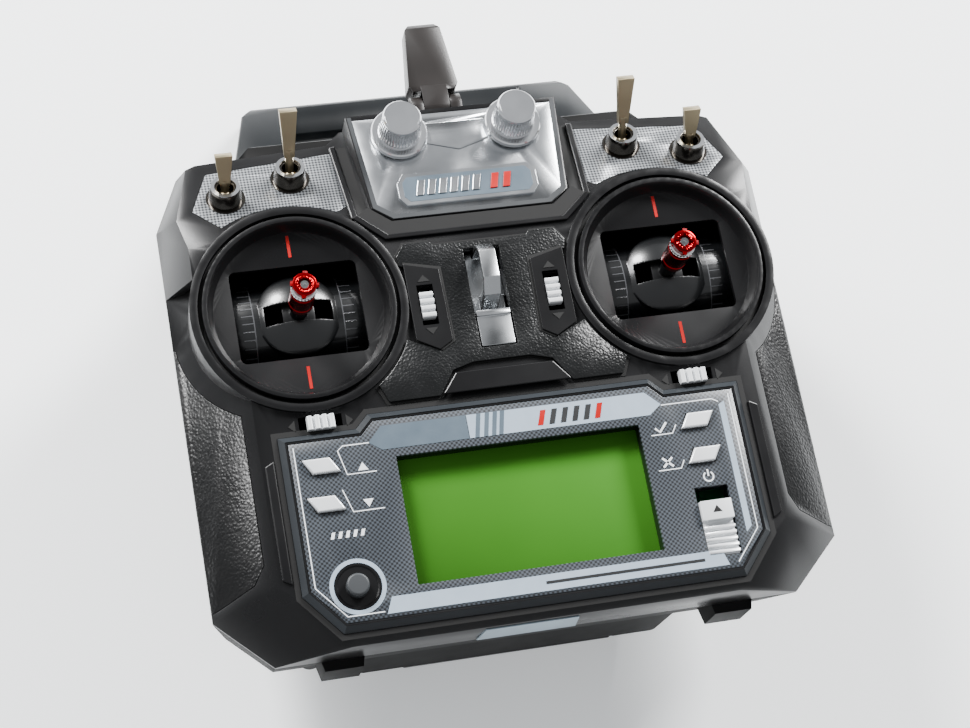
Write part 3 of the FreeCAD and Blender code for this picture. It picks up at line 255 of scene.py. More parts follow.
def glass_with_painted_glow():
    """Green transmissive display with a weak painted glow, and painted light that makes it brighter to the left.
    """
    material, shader, place = finish("display_glass_green_painted_glow", "#2d5c17", 0.6, ior=1.12)
    middle = face(0, -23)
    shifted = node(material, "ShaderNodeMapping", {"Vector": place, "Location": (-middle.x, -middle.y, 0)})
    axes = node(material, "ShaderNodeSeparateXYZ", {"Vector": shifted.outputs["Vector"]})
    slope = node(material, "ShaderNodeMapRange",
                 {"Value": axes.outputs["X"], "From Min": -0.034, "From Max": 0.034})
    cloud = node(material, "ShaderNodeTexNoise", {"Vector": place, "Scale": 60.0, "Detail": 1.0})
    sum_ = node(material, "ShaderNodeMath", {0: slope.outputs["Result"], 1: cloud.outputs["Fac"]},
                operation="ADD")
    half = node(material, "ShaderNodeMath", {0: sum_.outputs[0], 1: 0.5}, operation="MULTIPLY")
    tone = node(material, "ShaderNodeMix",
                {"Factor": half.outputs[0], "A": colour("#33651b"), "B": colour("#2b5b16")}, data_type="RGBA")
    plug(material, tone.outputs["Result"], shader.inputs["Base Color"])
    # The same tone feeds the emission as a weak painted glow.
    plug(material, tone.outputs["Result"], shader.inputs["Emission Color"])
    shader.inputs["Emission Strength"].default_value = 0.04
    return material


finishes["lcd"] = glass_with_painted_glow()
finishes["board"] = printed("fibreglass_green_mask", "#1c6a3c", "#12502c")
finishes["sensor"] = printed("phenolic_blue_moulded", "#27507c", "#1c3e64")
finishes["cell"] = printed("steel_can_printed_sleeve", "#a9762c", "#3a3430", size_mm=30.0)
LIGHT_INK = printed("ink_pale_blue_grey", "#8f9ca8", "#828f9c")
DARK_INK = printed("ink_slate", "#4d5861", "#434e57")
BLACK_INK = printed("ink_black", "#17181a", "#101112", (0.5, 0.6))
WHITE_INK = printed("ink_white", "#d5d8da", "#c7cacd")
RED_INK = printed("ink_red", "#a00d0b", "#860907")
# SHADOW is painted shadow: near-black sheets laid in grooves, channels, shut lines and pressed marks, where only
# shade falls.
SHADOW = printed("painted_shadow_deep_black", "#030303", "#020202", (0.55, 0.65))

# %% [markdown]
# The drum under each stick is polished black ABS with a scale engraved along both of its sides.  The scale
# is drawn by arithmetic on the position: thin lines every 2.2 mm, only in the two bands beside the dome.

# %% Polished drum with an engraved scale
def drum_finish():
    material, shader, place = finish("abs_polished_black", "#0a0b0c", 0.26, coat=0.15, ior=1.45)
    axes = node(material, "ShaderNodeSeparateXYZ", {"Vector": place})
    wide = node(material, "ShaderNodeMath", {0: axes.outputs["X"]}, operation="ABSOLUTE")
    off = node(material, "ShaderNodeMath", {0: wide.outputs[0], 1: STICK_X * MM}, operation="SUBTRACT")
    reach = node(material, "ShaderNodeMath", {0: off.outputs[0]}, operation="ABSOLUTE")
    long_mark = node(material, "ShaderNodeMath", {0: reach.outputs[0], 1: 0.0123, 2: 0.00016},
                     operation="COMPARE")
    band = node(material, "ShaderNodeMath", {0: reach.outputs[0], 1: 0.0140, 2: 0.0016}, operation="COMPARE")
    up = node(material, "ShaderNodeMath", {0: axes.outputs["Y"], 1: -face(0, 40).y + 0.0220}, operation="ADD")
    beat = node(material, "ShaderNodeMath", {0: up.outputs[0], 1: 0.0022}, operation="MODULO")
    tick = node(material, "ShaderNodeMath", {0: beat.outputs[0], 1: 0.0011, 2: 0.00014}, operation="COMPARE")
    ticks = node(material, "ShaderNodeMath", {0: tick.outputs[0], 1: band.outputs[0]}, operation="MULTIPLY")
    marks = node(material, "ShaderNodeMath", {0: ticks.outputs[0], 1: long_mark.outputs[0]},
                 operation="MAXIMUM")
    tone = node(material, "ShaderNodeMix", {"Factor": marks.outputs[0], "A": colour("#0a0b0c"),
                                            "B": colour("#3a3b3d")}, data_type="RGBA")
    plug(material, tone.outputs["Result"], shader.inputs["Base Color"])
    relief(material, shader, marks.outputs[0], -0.1, 0.5)
    return material


finishes["drum"] = drum_finish()
print(len(finishes), "finishes")

# %% [markdown]
# ## Dressing the engineering parts
# Nothing moulded has a knife edge.  Each part is welded into one skin and given a small bevel, because it is
# the bevel that catches the light and tells the eye how large the part is.

# %% Finish and soften every part
EDGES = {"front_shell": 0.55, "rear_shell": 0.9, "carry_handle": 1.2, "left_stick_housing": 0.35,
         "right_stick_housing": 0.35, "strap_hook": 0.3, "antenna_paddle": 0.5, "badge_plate": 0.3,
         "antenna_base": 0.4, "display_panel": 0.12, "centre_plate": 0.25, "battery_door": 0.4}
slots = {part["node"]: part["material_slot"] for part in frame["record"]["subparts"]}


def soften(piece, width_mm, angle=32):
    bpy.ops.object.select_all(action="DESELECT")
    piece.select_set(True)
    bpy.context.view_layer.objects.active = piece
    bpy.ops.object.shade_smooth_by_angle(angle=math.radians(angle))
    weld = piece.modifiers.new("weld", "WELD")
    weld.merge_threshold = 0.00001
    bevel = piece.modifiers.new("edge", "BEVEL")
    bevel.width, bevel.segments, bevel.limit_method = width_mm * MM, 2, "ANGLE"
    bevel.angle_limit, bevel.harden_normals = math.radians(angle), True
    return piece


for name, part in nodes.items():
    part.data.materials.clear()
    part.data.materials.append(finishes[slots[name]])
    soften(part, EDGES.get(name, 0.15))
print("softened", len(nodes), "parts")

# The bushes are turned from the same nickel as their nuts, the stick's slider is matt so that it hides, the
# rear shell is painted darker than the front as painted shade, and the bind key is mid grey.
nodes["toggle_bodies"].data.materials[0] = finishes["nut"]
nodes["rear_shell"].data.materials[0] = finishes["rear"]
nodes["bind_key"].data.materials[0] = finishes["base"]
for side in ("left", "right"):
    nodes[side + "_stick_slider"].data.materials[0] = finishes["key"]

# %% [markdown]
# ## Shaping helpers
# Flat parts and prints start as a ring of points filled with one face, moved to the outline wanted and
# extruded.  Turned parts start as the same ring, raised and scaled step by step, as on a lathe.

# %% Plates and turned parts
def take(name):
    piece = bpy.context.object
    piece.name = name
    return piece


def plate(name, outline, base, height, edge=0.0):
    """outline, base and height are in millimetres; the plate is drawn about the scene's origin."""
    bpy.ops.object.select_all(action="DESELECT")
    bpy.ops.mesh.primitive_circle_add(vertices=len(outline), fill_type="NGON")
    piece = take(name)
    for point, (x, y) in zip(piece.data.vertices, outline):
        point.co = Vector((x, y, base)) * MM
    bpy.ops.object.mode_set(mode="EDIT")
    bpy.ops.mesh.select_all(action="SELECT")
    bpy.ops.mesh.extrude_region_move(TRANSFORM_OT_translate={"value": (0, 0, height * MM)})
    bpy.ops.mesh.select_all(action="SELECT")
    bpy.ops.mesh.normals_make_consistent(inside=False)
    bpy.ops.object.mode_set(mode="OBJECT")
    if edge:
        bevel = piece.modifiers.new("edge", "BEVEL")
        bevel.width, bevel.segments = edge * MM, 2
        bpy.ops.object.modifier_apply(modifier="edge")
    return piece


def lathe(name, profile, sides=64):
    """profile is a list of (radius, height) steps in millimetres."""
    bpy.ops.object.select_all(action="DESELECT")
    radius, height = profile[0]
    bpy.ops.mesh.primitive_circle_add(vertices=sides, radius=radius * MM, fill_type="NGON")
    piece = take(name)
    for point in piece.data.vertices:
        point.co.z = height * MM
    bpy.ops.object.mode_set(mode="EDIT")
    bpy.ops.mesh.select_all(action="SELECT")
    for r, z in profile[1:]:
        bpy.ops.mesh.extrude_region_move(TRANSFORM_OT_translate={"value": (0, 0, (z - height) * MM)})
        bpy.ops.transform.resize(value=(r / radius, r / radius, 1))
        radius, height = r, z
    bpy.ops.mesh.select_all(action="SELECT")
    bpy.ops.mesh.normals_make_consistent(inside=False)
    bpy.ops.object.mode_set(mode="OBJECT")
    bpy.ops.object.shade_smooth_by_angle(angle=math.radians(30))
    return piece


def flute(piece, low, high, depth, every=2):
    """Presses alternate side faces between two heights inwards, which makes a knurl."""
    bpy.ops.object.select_all(action="DESELECT")
    piece.select_set(True)
    bpy.context.view_layer.objects.active = piece
    side = [f for f in piece.data.polygons if low * MM < f.center.z < high * MM and abs(f.normal.z) < 0.5]
    side = [f.index for f in sorted(side, key=lambda f: math.atan2(f.center.y, f.center.x))]
    bpy.ops.object.mode_set(mode="EDIT")
    bpy.ops.mesh.select_all(action="DESELECT")
    bpy.ops.object.mode_set(mode="OBJECT")
    for index in side[::every]:
        piece.data.polygons[index].select = True
    bpy.ops.object.mode_set(mode="EDIT")
    bpy.ops.mesh.select_mode(type="FACE")
    bpy.ops.mesh.inset(thickness=0.00004, use_individual=True)
    bpy.ops.transform.shrink_fatten(value=-depth * MM)
    bpy.ops.object.mode_set(mode="OBJECT")
    return piece


def put(piece, x=0, y=0, z=0, lean=0, turn=0):
    """Stands a piece at a point of the face, leaned back and turned, and settles that into its mesh."""
    bpy.ops.object.select_all(action="DESELECT")
    piece.select_set(True)
    bpy.context.view_layer.objects.active = piece
    piece.matrix_world = (Matrix.Translation(face(x, y, z)) @ Matrix.Rotation(math.radians(-lean), 4, "X")
                          @ Matrix.Rotation(math.radians(turn), 4, "Z"))
    bpy.ops.object.transform_apply(location=True, rotation=True, scale=True)
    return piece


def dress(piece, material, body="case", replaces=()):
    piece.data.materials.clear()
    piece.data.materials.append(material)
    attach(piece, body)
    if replaces:
        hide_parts(*replaces)
    return piece


def join(name, *pieces):
    bpy.ops.object.select_all(action="DESELECT")
    for piece in pieces:
        piece.select_set(True)
    bpy.context.view_layer.objects.active = pieces[0]
    bpy.ops.object.join()
    return take(name)


def both(right):
    return right + [(-x, y) for x, y in reversed(right)]


def circle(x, y, r, steps=32, start=0, sweep=360):
    return [(x + r * math.cos(math.radians(start + sweep * i / steps)),
             y + r * math.sin(math.radians(start + sweep * i / steps))) for i in range(steps + (sweep < 360))]


def ring(name, r_out, r_in, base, height, sides=64):
    """A flat washer: two arcs that meet, extruded."""
    outline = circle(0, 0, r_out, sides, 0, 359.9) + circle(0, 0, r_in, sides, 0, 359.9)[::-1]
    return plate(name, outline, base, height)


# %% [markdown]
# ## The stick ends
# On the real sticks a red anodised sleeve screws over the post, a bright knurled ring locks it, and a red
# crown with teeth gives the thumb its grip.  The crown is a turned blank with every other side face pulled
# out, which leaves eight teeth, and a bright grub screw sits in its middle.

# %% Crown, locking ring, sleeve and screw
def stick_end(side, x):
    body = side + "_stick"
    crown = lathe(side + "_crown", [(3.0, 13.9), (3.05, 14.6), (3.1, 14.7), (3.3, 16.2), (3.0, 16.3),
                                    (2.5, 16.3), (2.2, 15.5), (0.3, 15.4)], 16)
    crown = flute(crown, 14.65, 16.25, -0.62)
    dress(put(crown, x, 40), finishes["red"], body, [side + "_stick_crown"])
    lock = flute(lathe(side + "_lock_ring", [(3.1, 12.6), (3.5, 12.8), (3.5, 13.8), (3.0, 14.0)], 48),
                 12.9, 13.7, 0.16)
    dress(put(lock, x, 40), finishes["knob"], body, [side + "_stick_crown"])
    screw = lathe(side + "_grub_screw", [(1.3, 15.3), (1.3, 15.9), (1.1, 16.1), (0.5, 16.1), (0.4, 15.6),
                                         (0.1, 15.6)], 24)
    dress(put(screw, x, 40), finishes["knob"], body, [side + "_stick_crown"])
    sleeve = lathe(side + "_sleeve", [(3.2, 2.0), (3.4, 2.2), (3.4, 4.0), (3.15, 4.3), (3.4, 4.6), (3.4, 10.9),
                                      (3.15, 11.2), (3.4, 11.5), (3.4, 12.4), (3.2, 12.6)])
    dress(put(sleeve, x, 40), finishes["red"], body, [side + "_stick_sleeve"])


for side, x in (("left", -STICK_X), ("right", STICK_X)):
    stick_end(side, x)
print("stick ends made")

# %% [markdown]
# Two red lines are printed on the floor of each stick unit, above and below the window.

# %% Red centre lines on the stick units
for side, x in (("left", -STICK_X), ("right", STICK_X)):
    marks = [plate("mark", [(-0.42, low), (0.42, low), (0.42, low + 6.4), (-0.42, low + 6.4)], -4.0, 0.08)
             for low in (16.0, -22.4)]
    dress(put(join(side + "_centre_lines", *marks), x, 40), RED_INK)
    # A ring of painted shadow lies in the groove round each rim.
    groove = ring(side + "_rim_shadow", 27.55, 26.45, -3.2, 0.2)
    dress(put(groove, x, 40), SHADOW)
print("centre lines printed")

# %% [markdown]
# ## The dials
# A dial is turned aluminium: a flange, a knurled skirt that narrows upwards, a chamfer and a bright dished
# top.  The knurl is forty alternate side faces pressed in by a fifth of a millimetre.

# %% Knurled dials
DIAL_Z, POD_LEAN = -4.56, 6
for side, x in (("left", -16.5), ("right", 16.5)):
    flange = lathe("flange", [(7.6, 0.3), (8.0, 0.6), (8.0, 1.9), (7.7, 2.3), (6.4, 2.3)])
    skirt = lathe("skirt", [(6.0, 2.2), (6.1, 2.4), (5.95, 3.2), (5.5, 8.9), (5.35, 9.2)], 80)
    skirt = flute(skirt, 3.3, 8.8, 0.22)
    top = lathe("top", [(5.4, 9.1), (5.5, 9.3), (5.5, 9.8), (5.1, 10.3), (4.9, 10.3), (4.8, 10.15),
                        (0.3, 10.15)])
    dial = join(side + "_turned_dial", flange, skirt, top)
    dress(put(dial, x, 89.3, DIAL_Z, POD_LEAN), finishes["knob"], side + "_dial_knob", [side + "_dial"])
print("dials turned")

# %% [markdown]
# ## The trims
# Each trim is a little ribbed rocker.  Its rib profile is drawn side-on, like a saw, extruded to the
# rocker's width, and stood on edge.

# %% Ribbed trim rockers
def rocker(name, x, y, upright):
    saw = [(-3.8, -2.6), (3.8, -2.6), (3.8, -0.9)]
    for i in range(4):
        mid = 3.0 - 2.0 * i
        top = 0.3 - 0.09 * abs(mid)
        saw += [(mid + 0.62, top - 0.12), (mid + 0.3, top), (mid - 0.3, top), (mid - 0.62, top - 0.12)]
        saw += [(mid - 0.75, top - 1.0), (mid - 1.2, top - 1.0)] if i < 3 else []
    saw.append((-3.8, -0.9))
    ribs = plate(name + "_ribs", saw, -1.9, 3.8, 0.1)
    ribs.rotation_euler = (math.radians(90), 0, math.radians(90))
    bpy.ops.object.transform_apply(rotation=True)
    put(ribs, x, y, 0, turn=0 if upright else 90)
    dress(ribs, finishes["silver"], name + "_rocker", [name])


TRIMS = {"left_pitch_trim": (-17.8, 36.4, True), "right_pitch_trim": (17.8, 36.4, True),
         "left_roll_trim": (-STICK_X + 0.6, 6.9, False), "right_roll_trim": (STICK_X - 0.6, 6.9, False)}
for name, place in TRIMS.items():
    rocker(name, *place)
print(len(TRIMS), "trims ribbed")

# %% [markdown]
# Small moulded arrows beside each slot show which way it trims; they are thin sheets of painted shadow.

# %% Arrows beside the trims
ARROW = [(-1.7, -0.8), (1.7, -0.8), (0, 1.1)]
arrows = []
for x, y, upright in TRIMS.values():
    for way in (1, -1):
        arrow = plate("arrow", ARROW, 0, 0.12)
        spot = (x, y + way * 7.6, -0.42) if upright else (x + way * 7.7, y, -2.0)
        arrows.append(put(arrow, *spot, turn=(0 if way > 0 else 180) if upright else -90 * way))
dress(join("trim_arrows", *arrows), SHADOW)
print("arrows placed")

# %% [markdown]
# ## The plate between the sticks
# Smooth fields stand on the coarse plate round the two upright trims, with a shut line of painted shadow beside
# them.
# Each is a plate with its slot cut by a boolean, the way the slot would be milled.

# %% Smooth fields round the upright trims
def pierce(piece, cutter):
    tool = piece.modifiers.new("slot", "BOOLEAN")
    tool.object, tool.operation, tool.solver = cutter, "DIFFERENCE", "EXACT"
    bpy.ops.object.select_all(action="DESELECT")
    piece.select_set(True)
    bpy.context.view_layer.objects.active = piece
    bpy.ops.object.modifier_apply(modifier="slot")
    bpy.data.objects.remove(cutter)
    return piece


def slot_cutter(x, y, w, h):
    bpy.ops.object.select_all(action="DESELECT")
    bpy.ops.mesh.primitive_cube_add(size=1, location=(x * MM, y * MM, 0), scale=(w * MM, h * MM, 40 * MM))
    return bpy.context.object


FIELD = [(22.6, 26.6), (22.6, 48.9), (13.0, 46.5), (12.6, 25.5), (16.5, 23.2)]


def grown(outline, by):
    cx, cy = 17.6, 36.0
    return [(x + (0 if x > cx + 2 else -by), y + by * (1 if y > cy else -0.3)) for x, y in outline]


def field_outline(sign, by):
    return [(sign * x, y) for x, y in grown(FIELD, by)]


for side, sign in (("left", -1), ("right", 1)):
    line = pierce(plate(side + "_field_line", field_outline(sign, 0.75), -1.0, 0.12),
                  slot_cutter(sign * 17.8, 36.4, 4.5, 11.8))
    dress(put(line), SHADOW)
    field = pierce(plate(side + "_trim_field", field_outline(sign, 0), -1.0, 0.58, 0.15),
                   slot_cutter(sign * 17.8, 36.4, 4.5, 11.8))
    dress(put(field), finishes["case"])
print("trim fields placed")

# %% [markdown]
# Below, a smooth raised step runs up from the display to the plate's lower edge.

# %% Step below the plate
step = plate("lower_step", both([(18.0, 10.3), (13.6, 16.0)]), -1.0, 0.9, 0.3)
dress(put(step), finishes["case"])
print("step placed")

# %% [markdown]
# ## The display's frame
# The sheet lies in a sloped frame.  Its slope is a satin band two millimetres wide, a groove of painted
# shadow runs outside it, and the case rises again beyond the groove in a low ridge on both sides.

# %% Sloped band, groove and side ridges
PANEL = both([(STICK_X + 1.2, -48.3), (STICK_X + 9.2, -38.7), (STICK_X + 9.2, 1.6), (42.0, 1.6), (38.3, 5.3)])


def offset(outline, by):
    """Moves every side of an anticlockwise outline outwards."""
    moved = []
    for i, b in enumerate(outline):
        a, c = Vector(outline[i - 1]), Vector(outline[(i + 1) % len(outline)])
        u, w = (Vector(b) - a).normalized(), (c - Vector(b)).normalized()
        corner = Vector((u.y + w.y, -u.x - w.x)) / (1 + u.dot(w))
        moved.append(tuple(Vector(b) + corner * by))
    return moved


def band(name, near, far, z_near, z_far, thick):
    """A strip round the sheet, from one distance and height to another."""
    inner, outer = offset(PANEL, near), offset(PANEL, far)
    outline = outer + outer[:1] + inner[:1] + inner[::-1]
    piece = plate(name, outline, 0, thick)
    count = len(outline)
    for i, point in enumerate(piece.data.vertices):
        point.co.z += (z_far if i % count <= len(outer) else z_near) * MM
    return piece


dress(put(band("display_frame", 0.75, 2.35, -0.36, -1.75, 0.12)), finishes["rim"])
dress(put(band("display_groove", 2.5, 4.0, -1.98, -1.98, 0.1)), SHADOW)
for side, sign in (("left", -1), ("right", 1)):
    x0 = (STICK_X + 9.2 + 4.2)
    ridge = [(sign * x0, -36.0), (sign * (x0 + 2.6), -34.6), (sign * (x0 + 2.6), -3.4), (sign * x0, -2.0)]
    dress(put(plate(side + "_ridge", ridge if sign > 0 else ridge[::-1], -2.0, 0.8, 0.35)), finishes["case"])
print("frame laid")

# %% [markdown]
# ## Printing on the display sheet
# The print is built as thin sheets a tenth of a millimetre proud, one ink each.  What was lettering is
# replaced by plain signs that anyone can read: arrows, a tick, a cross and a power sign.

# %% Banner, stripes and bars
def ink(name, material, *outlines, height=0.07):
    sheets = [plate("sheet", outline, -0.4, height) for outline in outlines]
    return dress(put(join(name, *sheets)), material)


ink("banner_light", LIGHT_INK, [(-13.0, -3.0), (37.4, -3.0), (41.0, -0.3), (37.0, 3.6), (-13.0, 3.6)])
ink("banner_dark", DARK_INK, [(-37.0, -3.0), (-13.2, -3.0), (-13.2, 3.6), (-36.5, 3.6), (-40.4, -0.6)])
ink("banner_stripes", DARK_INK, *[[(-11.6 + d, -3.0), (-10.4 + d, -3.0), (-9.0 + d, 3.6), (-10.2 + d, 3.6)]
                                  for d in (0, 2.4, 4.6, 6.6)], height=0.1)
ink("lower_bar", LIGHT_INK, [(-43.0, -47.3), (50.6, -47.3), (49.2, -42.9), (-41.2, -42.9)])
ink("side_bar", LIGHT_INK, [(57.2, -39.0), (58.9, -37.4), (58.9, -1.6), (57.2, -2.4)])
slants = [[(x, -1.9), (x + 1.5, -1.9), (x + 2.9, 2.3), (x + 1.4, 2.3)]
          for x in (6.0, 9.2, 12.4, 15.6, 18.8, 22.0)]
ink("banner_bars_red", RED_INK, slants[0], slants[5], height=0.12)
ink("banner_bars_black", BLACK_INK, *slants[1:5], height=0.12)
ink("lower_bar_rule", BLACK_INK, [(0, -45.5), (44, -45.5), (44, -44.7), (0, -44.7)], height=0.12)
print("banner and bars printed")

# %% Key signs and lead lines
def stroke(points, width):
    """A thin line of even width along a path."""
    left, right = [], []
    for i, p in enumerate(points):
        a, b = points[max(i - 1, 0)], points[min(i + 1, len(points) - 1)]
        length = math.hypot(b[0] - a[0], b[1] - a[1])
        nx, ny = -(b[1] - a[1]) / length * width / 2, (b[0] - a[0]) / length * width / 2
        left.append((p[0] + nx, p[1] + ny))
        right.append((p[0] - nx, p[1] - ny))
    return right + left[::-1]


ink("key_signs", WHITE_INK, [(-44.4, -7.9), (-41.6, -7.9), (-43.0, -5.7)],
    [(-44.4, -15.9), (-43.0, -18.1), (-41.6, -15.9)],
    stroke([(38.0, -7.0), (39.2, -8.2), (41.4, -5.6)], 0.6), stroke([(38.2, -18.2), (41.0, -15.6)], 0.6),
    stroke([(38.2, -15.6), (41.0, -18.2)], 0.6))
ink("lead_lines", WHITE_INK,
    stroke([(-40.2, -0.6), (-47.5, -0.6), (-49.0, -1.8), (-47.4, -8.6), (-39.5, -8.6)], 0.3),
    stroke([(-49.4, -12.6), (-47.4, -18.9), (-39.0, -18.9)], 0.3),
    stroke([(36.6, -8.9), (42.6, -8.9), (44.0, -6.6)], 0.3),
    stroke([(36.6, -19.0), (43.0, -19.0), (44.2, -16.8)], 0.3),
    stroke([(41.0, -0.6), (55.5, -0.6), (57.2, -1.6)], 0.3),
    stroke([(-60.6, 0.5), (-60.6, -38.0), (-53.4, -46.6), (-43.6, -46.6)], 0.3),
    stroke([(60.4, 0.4), (60.4, -38.2), (53.2, -46.8)], 0.3))
ink("power_sign", WHITE_INK, stroke(circle(50.0, -22.3, 1.35, 20, 125, 290), 0.42),
    stroke([(50, -22.2), (50, -20.3)], 0.42))
ink("type_bars", WHITE_INK, *[[(x, -25.6), (x + 0.9, -25.6), (x + 1.5, -23.8), (x + 0.6, -23.8)]
                              for x in (-54.6, -52.6, -50.6, -48.6, -46.6)])
bind = put(ring("bind_ring", 7.5, 6.35, -0.4, 0.1), -49.5, -39.0)
dress(bind, LIGHT_INK)
print("signs printed")

# %% [markdown]
# The bind key sits in a polished black dish, and the power slider's pressed-in arrow is a thin sheet of painted
# shadow on its block.

# %% Dish and slider arrow
dish = lathe("bind_dish", [(6.2, -0.6), (6.3, -0.34), (5.7, -0.34), (4.2, -1.3), (3.4, -1.45)])
dress(put(dish, -49.5, -39.0), finishes["key"])
arrow = put(plate("slider_arrow", [(-1.3, -0.8), (1.3, -0.8), (0, 1.1)], 0, 0.08), 50, -31.9, 0.98)
dress(arrow, SHADOW, "power_knob")
print("dish and arrow made")

# %% [markdown]
# A foil label is stuck on the lower wall.  It is a thin slanted sheet, stood upright against that wall.

# %% Foil on the lower wall
foil = plate("foil_label", [(-18.2, -16.2), (9.2, -16.2), (8.2, -5.2), (-17.2, -5.2)], 54.02, 0.4, 0.05)
foil.rotation_euler = (math.radians(90), 0, 0)
bpy.ops.object.transform_apply(rotation=True)
dress(put(foil), finishes["sticker"], "case", ["nameplate"])
print("foil stuck on")

# %% [markdown]
# Each toggle nut has a polished rim, which is the brightest line on it.

# %% Bright rims on the toggle nuts
SLOPE_LEAN = 20


def on_slope(x, y, up=0.0):
    lean = math.radians(SLOPE_LEAN)
    return x, y + up * math.sin(lean), -2.0 - (y - 61.0) * math.tan(lean) + up * math.cos(lean)


rims = [put(ring("rim", 4.05, 3.05, 4.95, 0.22, 40), *on_slope(x, y), lean=SLOPE_LEAN)
        for x, y in ((-67.3, 76.8), (-48.4, 81.5), (48.4, 81.5), (67.3, 76.8))]
washers = [put(ring("washer", 5.5, 4.85, 0.0, 0.35, 40), *on_slope(x, y), lean=SLOPE_LEAN)
           for x, y in ((-67.3, 76.8), (-48.4, 81.5), (48.4, 81.5), (67.3, 76.8))]
dress(join("toggle_rims", *rims), finishes["knob"])
dress(join("toggle_washers", *washers), finishes["nut"])
print("rims made")

# %% [markdown]
# A dark channel runs round the pod, and the case rises again outside it.  The channel is a strip of painted
# shadow laid on the slope and on the flat below it; the raised case edge is a bevelled strip beside it.

# %% Channel round the pod
def strip(name, inner, outer, height, edge=0.0):
    return plate(name, outer + inner[::-1], 0.02, height, edge)


for side, sign in (("left", -1), ("right", 1)):
    steep = math.cos(math.radians(SLOPE_LEAN))
    climb = [(sign * x, (y - 61.0) / steep) for x, y in ((29.2, 66.0), (30.6, 96.0))]
    wide = [(sign * x, (y - 61.0) / steep) for x, y in ((32.4, 65.0), (33.9, 91.0))]
    rise = [(sign * x, (y - 61.0) / steep) for x, y in ((34.3, 64.2), (35.8, 90.6))]
    dress(put(strip(side + "_pod_channel", climb[:1] + [(climb[1][0], wide[1][1])], wide, 0.15),
              *on_slope(0, 61), lean=SLOPE_LEAN), SHADOW)
    dress(put(strip(side + "_pod_shoulder", wide, rise, 1.3, 0.4), *on_slope(0, 61), lean=SLOPE_LEAN),
          finishes["case"])
low_in = both([(23.2, 62.6), (29.4, 67.4)])
low_out = both([(25.0, 58.6), (32.6, 65.2)])
dress(put(plate("lower_pod_channel", [low_out[0], low_out[1], low_in[1], low_in[0], low_in[3], low_in[2],
                                      low_out[2], low_out[3]], -1.98, 0.12)), SHADOW)
lip_out = both([(26.0, 57.2), (34.4, 64.6)])
dress(put(plate("lower_pod_shoulder", [lip_out[0], lip_out[1], low_out[1], low_out[0], low_out[3], low_out[2],
                                       lip_out[2], lip_out[3]], -2.0, 0.9, 0.3)), finishes["case"])
print("channel laid")

# %% [markdown]
# The plate between the sticks sits in a shut line of painted shadow: a copy of it, a little larger and sunk below
# it.

# %% Shut line round the plate
shut = nodes["centre_plate"].copy()
shut.data = nodes["centre_plate"].data.copy()
shut.name, shut.parent = "centre_shut_line", None
for key in list(shut.keys()):
    del shut[key]
bpy.context.scene.collection.objects.link(shut)
shut.modifiers.clear()
middle = face(0, 33)
shut.data.transform(Matrix.Translation(middle) @ Matrix.Diagonal((1.022, 1.03, 1, 1))
                    @ Matrix.Translation(-middle))
shut.data.transform(Matrix.Translation((0, 0, -0.85 * MM)))
dress(shut, SHADOW)
print("shut line made")

# %% [markdown]
# ## The pod
# The bright pod wears a satin badge with slanted bars, and a shallow pressed chevron points to the dials.

# %% Badge and chevron
def on_pod(x, y, up=0.0):
    return x, y, -1.8 - (y - 63.0) * math.tan(math.radians(POD_LEAN)) + up


badge_rim = plate("badge_rim", offset(both([(18.0, -5.1), (20.0, -2.5), (20.0, 2.3), (18.0, 5.1)]), -0.1),
                  0.85, 0.14, 0.05)
dress(put(badge_rim, *on_pod(0, 71.3), lean=POD_LEAN), finishes["chrome"])
badge = plate("badge_field", both([(17.0, -3.9), (18.5, -2.2), (18.5, 2.2), (17.0, 3.9)]), 0.9, 0.16, 0.05)
dress(put(badge, *on_pod(0, 71.3), lean=POD_LEAN), DARK_INK)
bars = [plate("bar", [(x, -2.3), (x + 2.1, -2.3), (x + 3.3, 2.4), (x + 1.2, 2.4)], 1.0, 0.35, 0.08)
        for x in (-15.2, -12.0, -8.8, -5.6, -2.4, 0.8)]
dress(put(join("badge_bars", *bars), *on_pod(0, 71.3), lean=POD_LEAN), finishes["chrome"])
flash = [plate("bar", [(x, -2.3), (x + 2.1, -2.3), (x + 3.3, 2.4), (x + 1.2, 2.4)], 1.0, 0.35, 0.08)
         for x in (6.0, 9.6)]
dress(put(join("badge_flash", *flash), *on_pod(0, 71.3), lean=POD_LEAN), RED_INK)
chevron = plate("pod_chevron", [(-9, 3.2), (-9, 2.6), (0, -0.2), (9, 2.6), (9, 3.2), (0, 0.5)], 0, 0.25, 0.08)
dress(put(chevron, *on_pod(0, 83.3), lean=POD_LEAN), finishes["chrome"])
frame_out = both([(22.6, -20.2), (27.7, -16.3), (30.2, 13.4)])
frame_in = both([(21.8, -18.9), (26.5, -15.3), (29.0, 13.4)])
surround = plate("pod_surround",
                 frame_out[3:] + frame_out[:3] + frame_in[:3][::-1] + frame_in[3:][::-1], -0.2, 0.35)
dress(put(surround, *on_pod(0, 83.3), lean=POD_LEAN), finishes["base"])
print("pod finished")

# %% [markdown]
# ## Light, floor and camera
# A pale sweep, a broad window of light behind on the right, a strong and a weak one behind on the left, and
# a room for the plated parts to reflect.  A dark flag overhead keeps glare off the flat face.

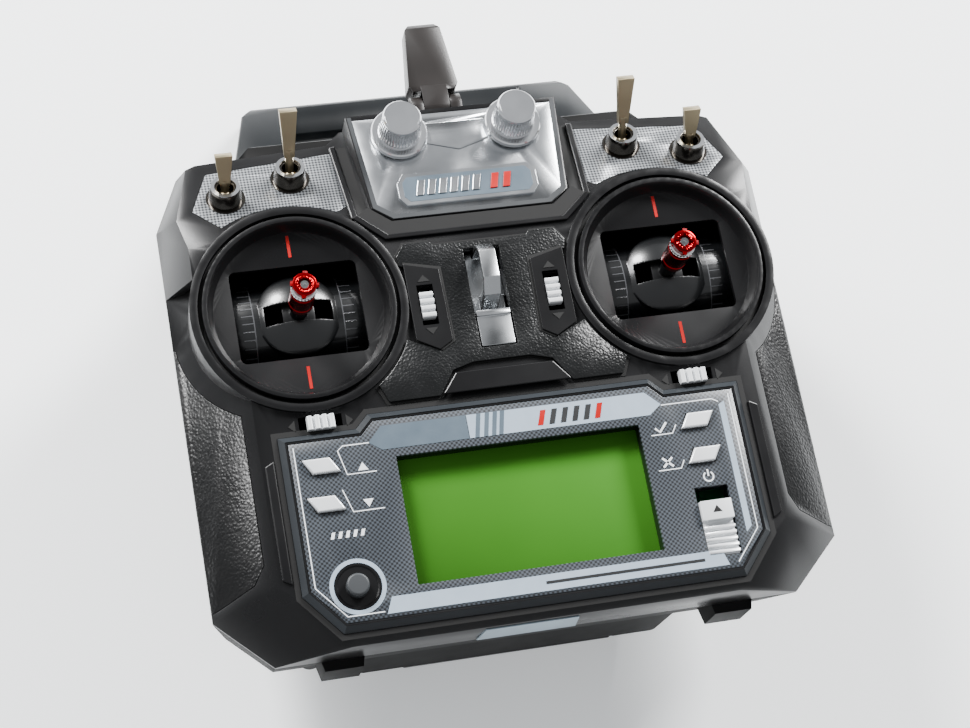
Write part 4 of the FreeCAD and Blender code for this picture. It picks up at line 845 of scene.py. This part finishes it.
# %% Floor and lights
bpy.ops.object.select_all(action="DESELECT")
bpy.ops.mesh.primitive_plane_add(size=6.0, location=(0, 0, -0.0002))
floor = take("studio_floor")
paper, paper_shader, paper_place = finish("paper_sweep", "#f1f3f4", 0.8)
uneven(paper, paper_shader, paper_place, "#f4f6f7", "#eef0f1", 400.0, (0.75, 0.85))
paper_shader.inputs["Emission Color"].default_value = colour("#f4f6f7")
paper_shader.inputs["Emission Strength"].default_value = 0.32
floor.data.materials.append(paper)


def lamp(name, where, size, watts, tint=(1, 1, 1)):
    data = bpy.data.lights.new(name, "AREA")
    data.shape, data.size, data.energy, data.color = "DISK", size, watts, tint
    made = bpy.data.objects.new(name, data)
    bpy.context.scene.collection.objects.link(made)
    made.location = where
    made.rotation_euler = (Vector((0, 0, 0.05)) - Vector(where)).to_track_quat("-Z", "Y").to_euler()
    return made


lamp("window_right", (1.05, 0.95, 0.8), 0.6, 80.0)
lamp("fill_left", (-1.0, 0.9, 0.9), 0.6, 24.0)
lamp("top_soft", (-0.75, 1.35, 1.0), 0.5, 85.0)
room = bpy.data.worlds.new("studio_room")
room.use_nodes = True
sky = room.node_tree.nodes["Background"]
way = node(room, "ShaderNodeTexCoord").outputs["Generated"]
flag = node(room, "ShaderNodeVectorMath", {0: way, 1: (0.204, 0.204, 0.957)}, operation="DOT_PRODUCT")
tone = node(room, "ShaderNodeMapRange", {"Value": flag.outputs["Value"], "From Min": 0.94, "From Max": 0.995,
                                         "To Min": 0.75, "To Max": 0.06})
sky.inputs["Color"].default_value = (0.95, 0.97, 1.0, 1)
plug(room, tone.outputs["Result"], sky.inputs["Strength"])
bpy.context.scene.world = room
print("studio lit")

# %% The camera
lens = bpy.data.cameras.new("portrait_camera")
lens.lens, lens.sensor_width = 83.3, 36.0
camera = bpy.data.objects.new("portrait_camera", lens)
bpy.context.scene.collection.objects.link(camera)
right = Vector((0.9722, -0.1784, 0.1517))
up = Vector((0.1190, 0.9344, 0.3359))
back = Vector((-0.2016, -0.3085, 0.9296))
turn = Matrix((right, up, back)).transposed().to_4x4()
camera.matrix_world = Matrix.Translation(face(-128.3, -171.0, 567.2)) @ turn
bpy.context.scene.camera = camera
print("camera at", tuple(round(c, 3) for c in camera.location))
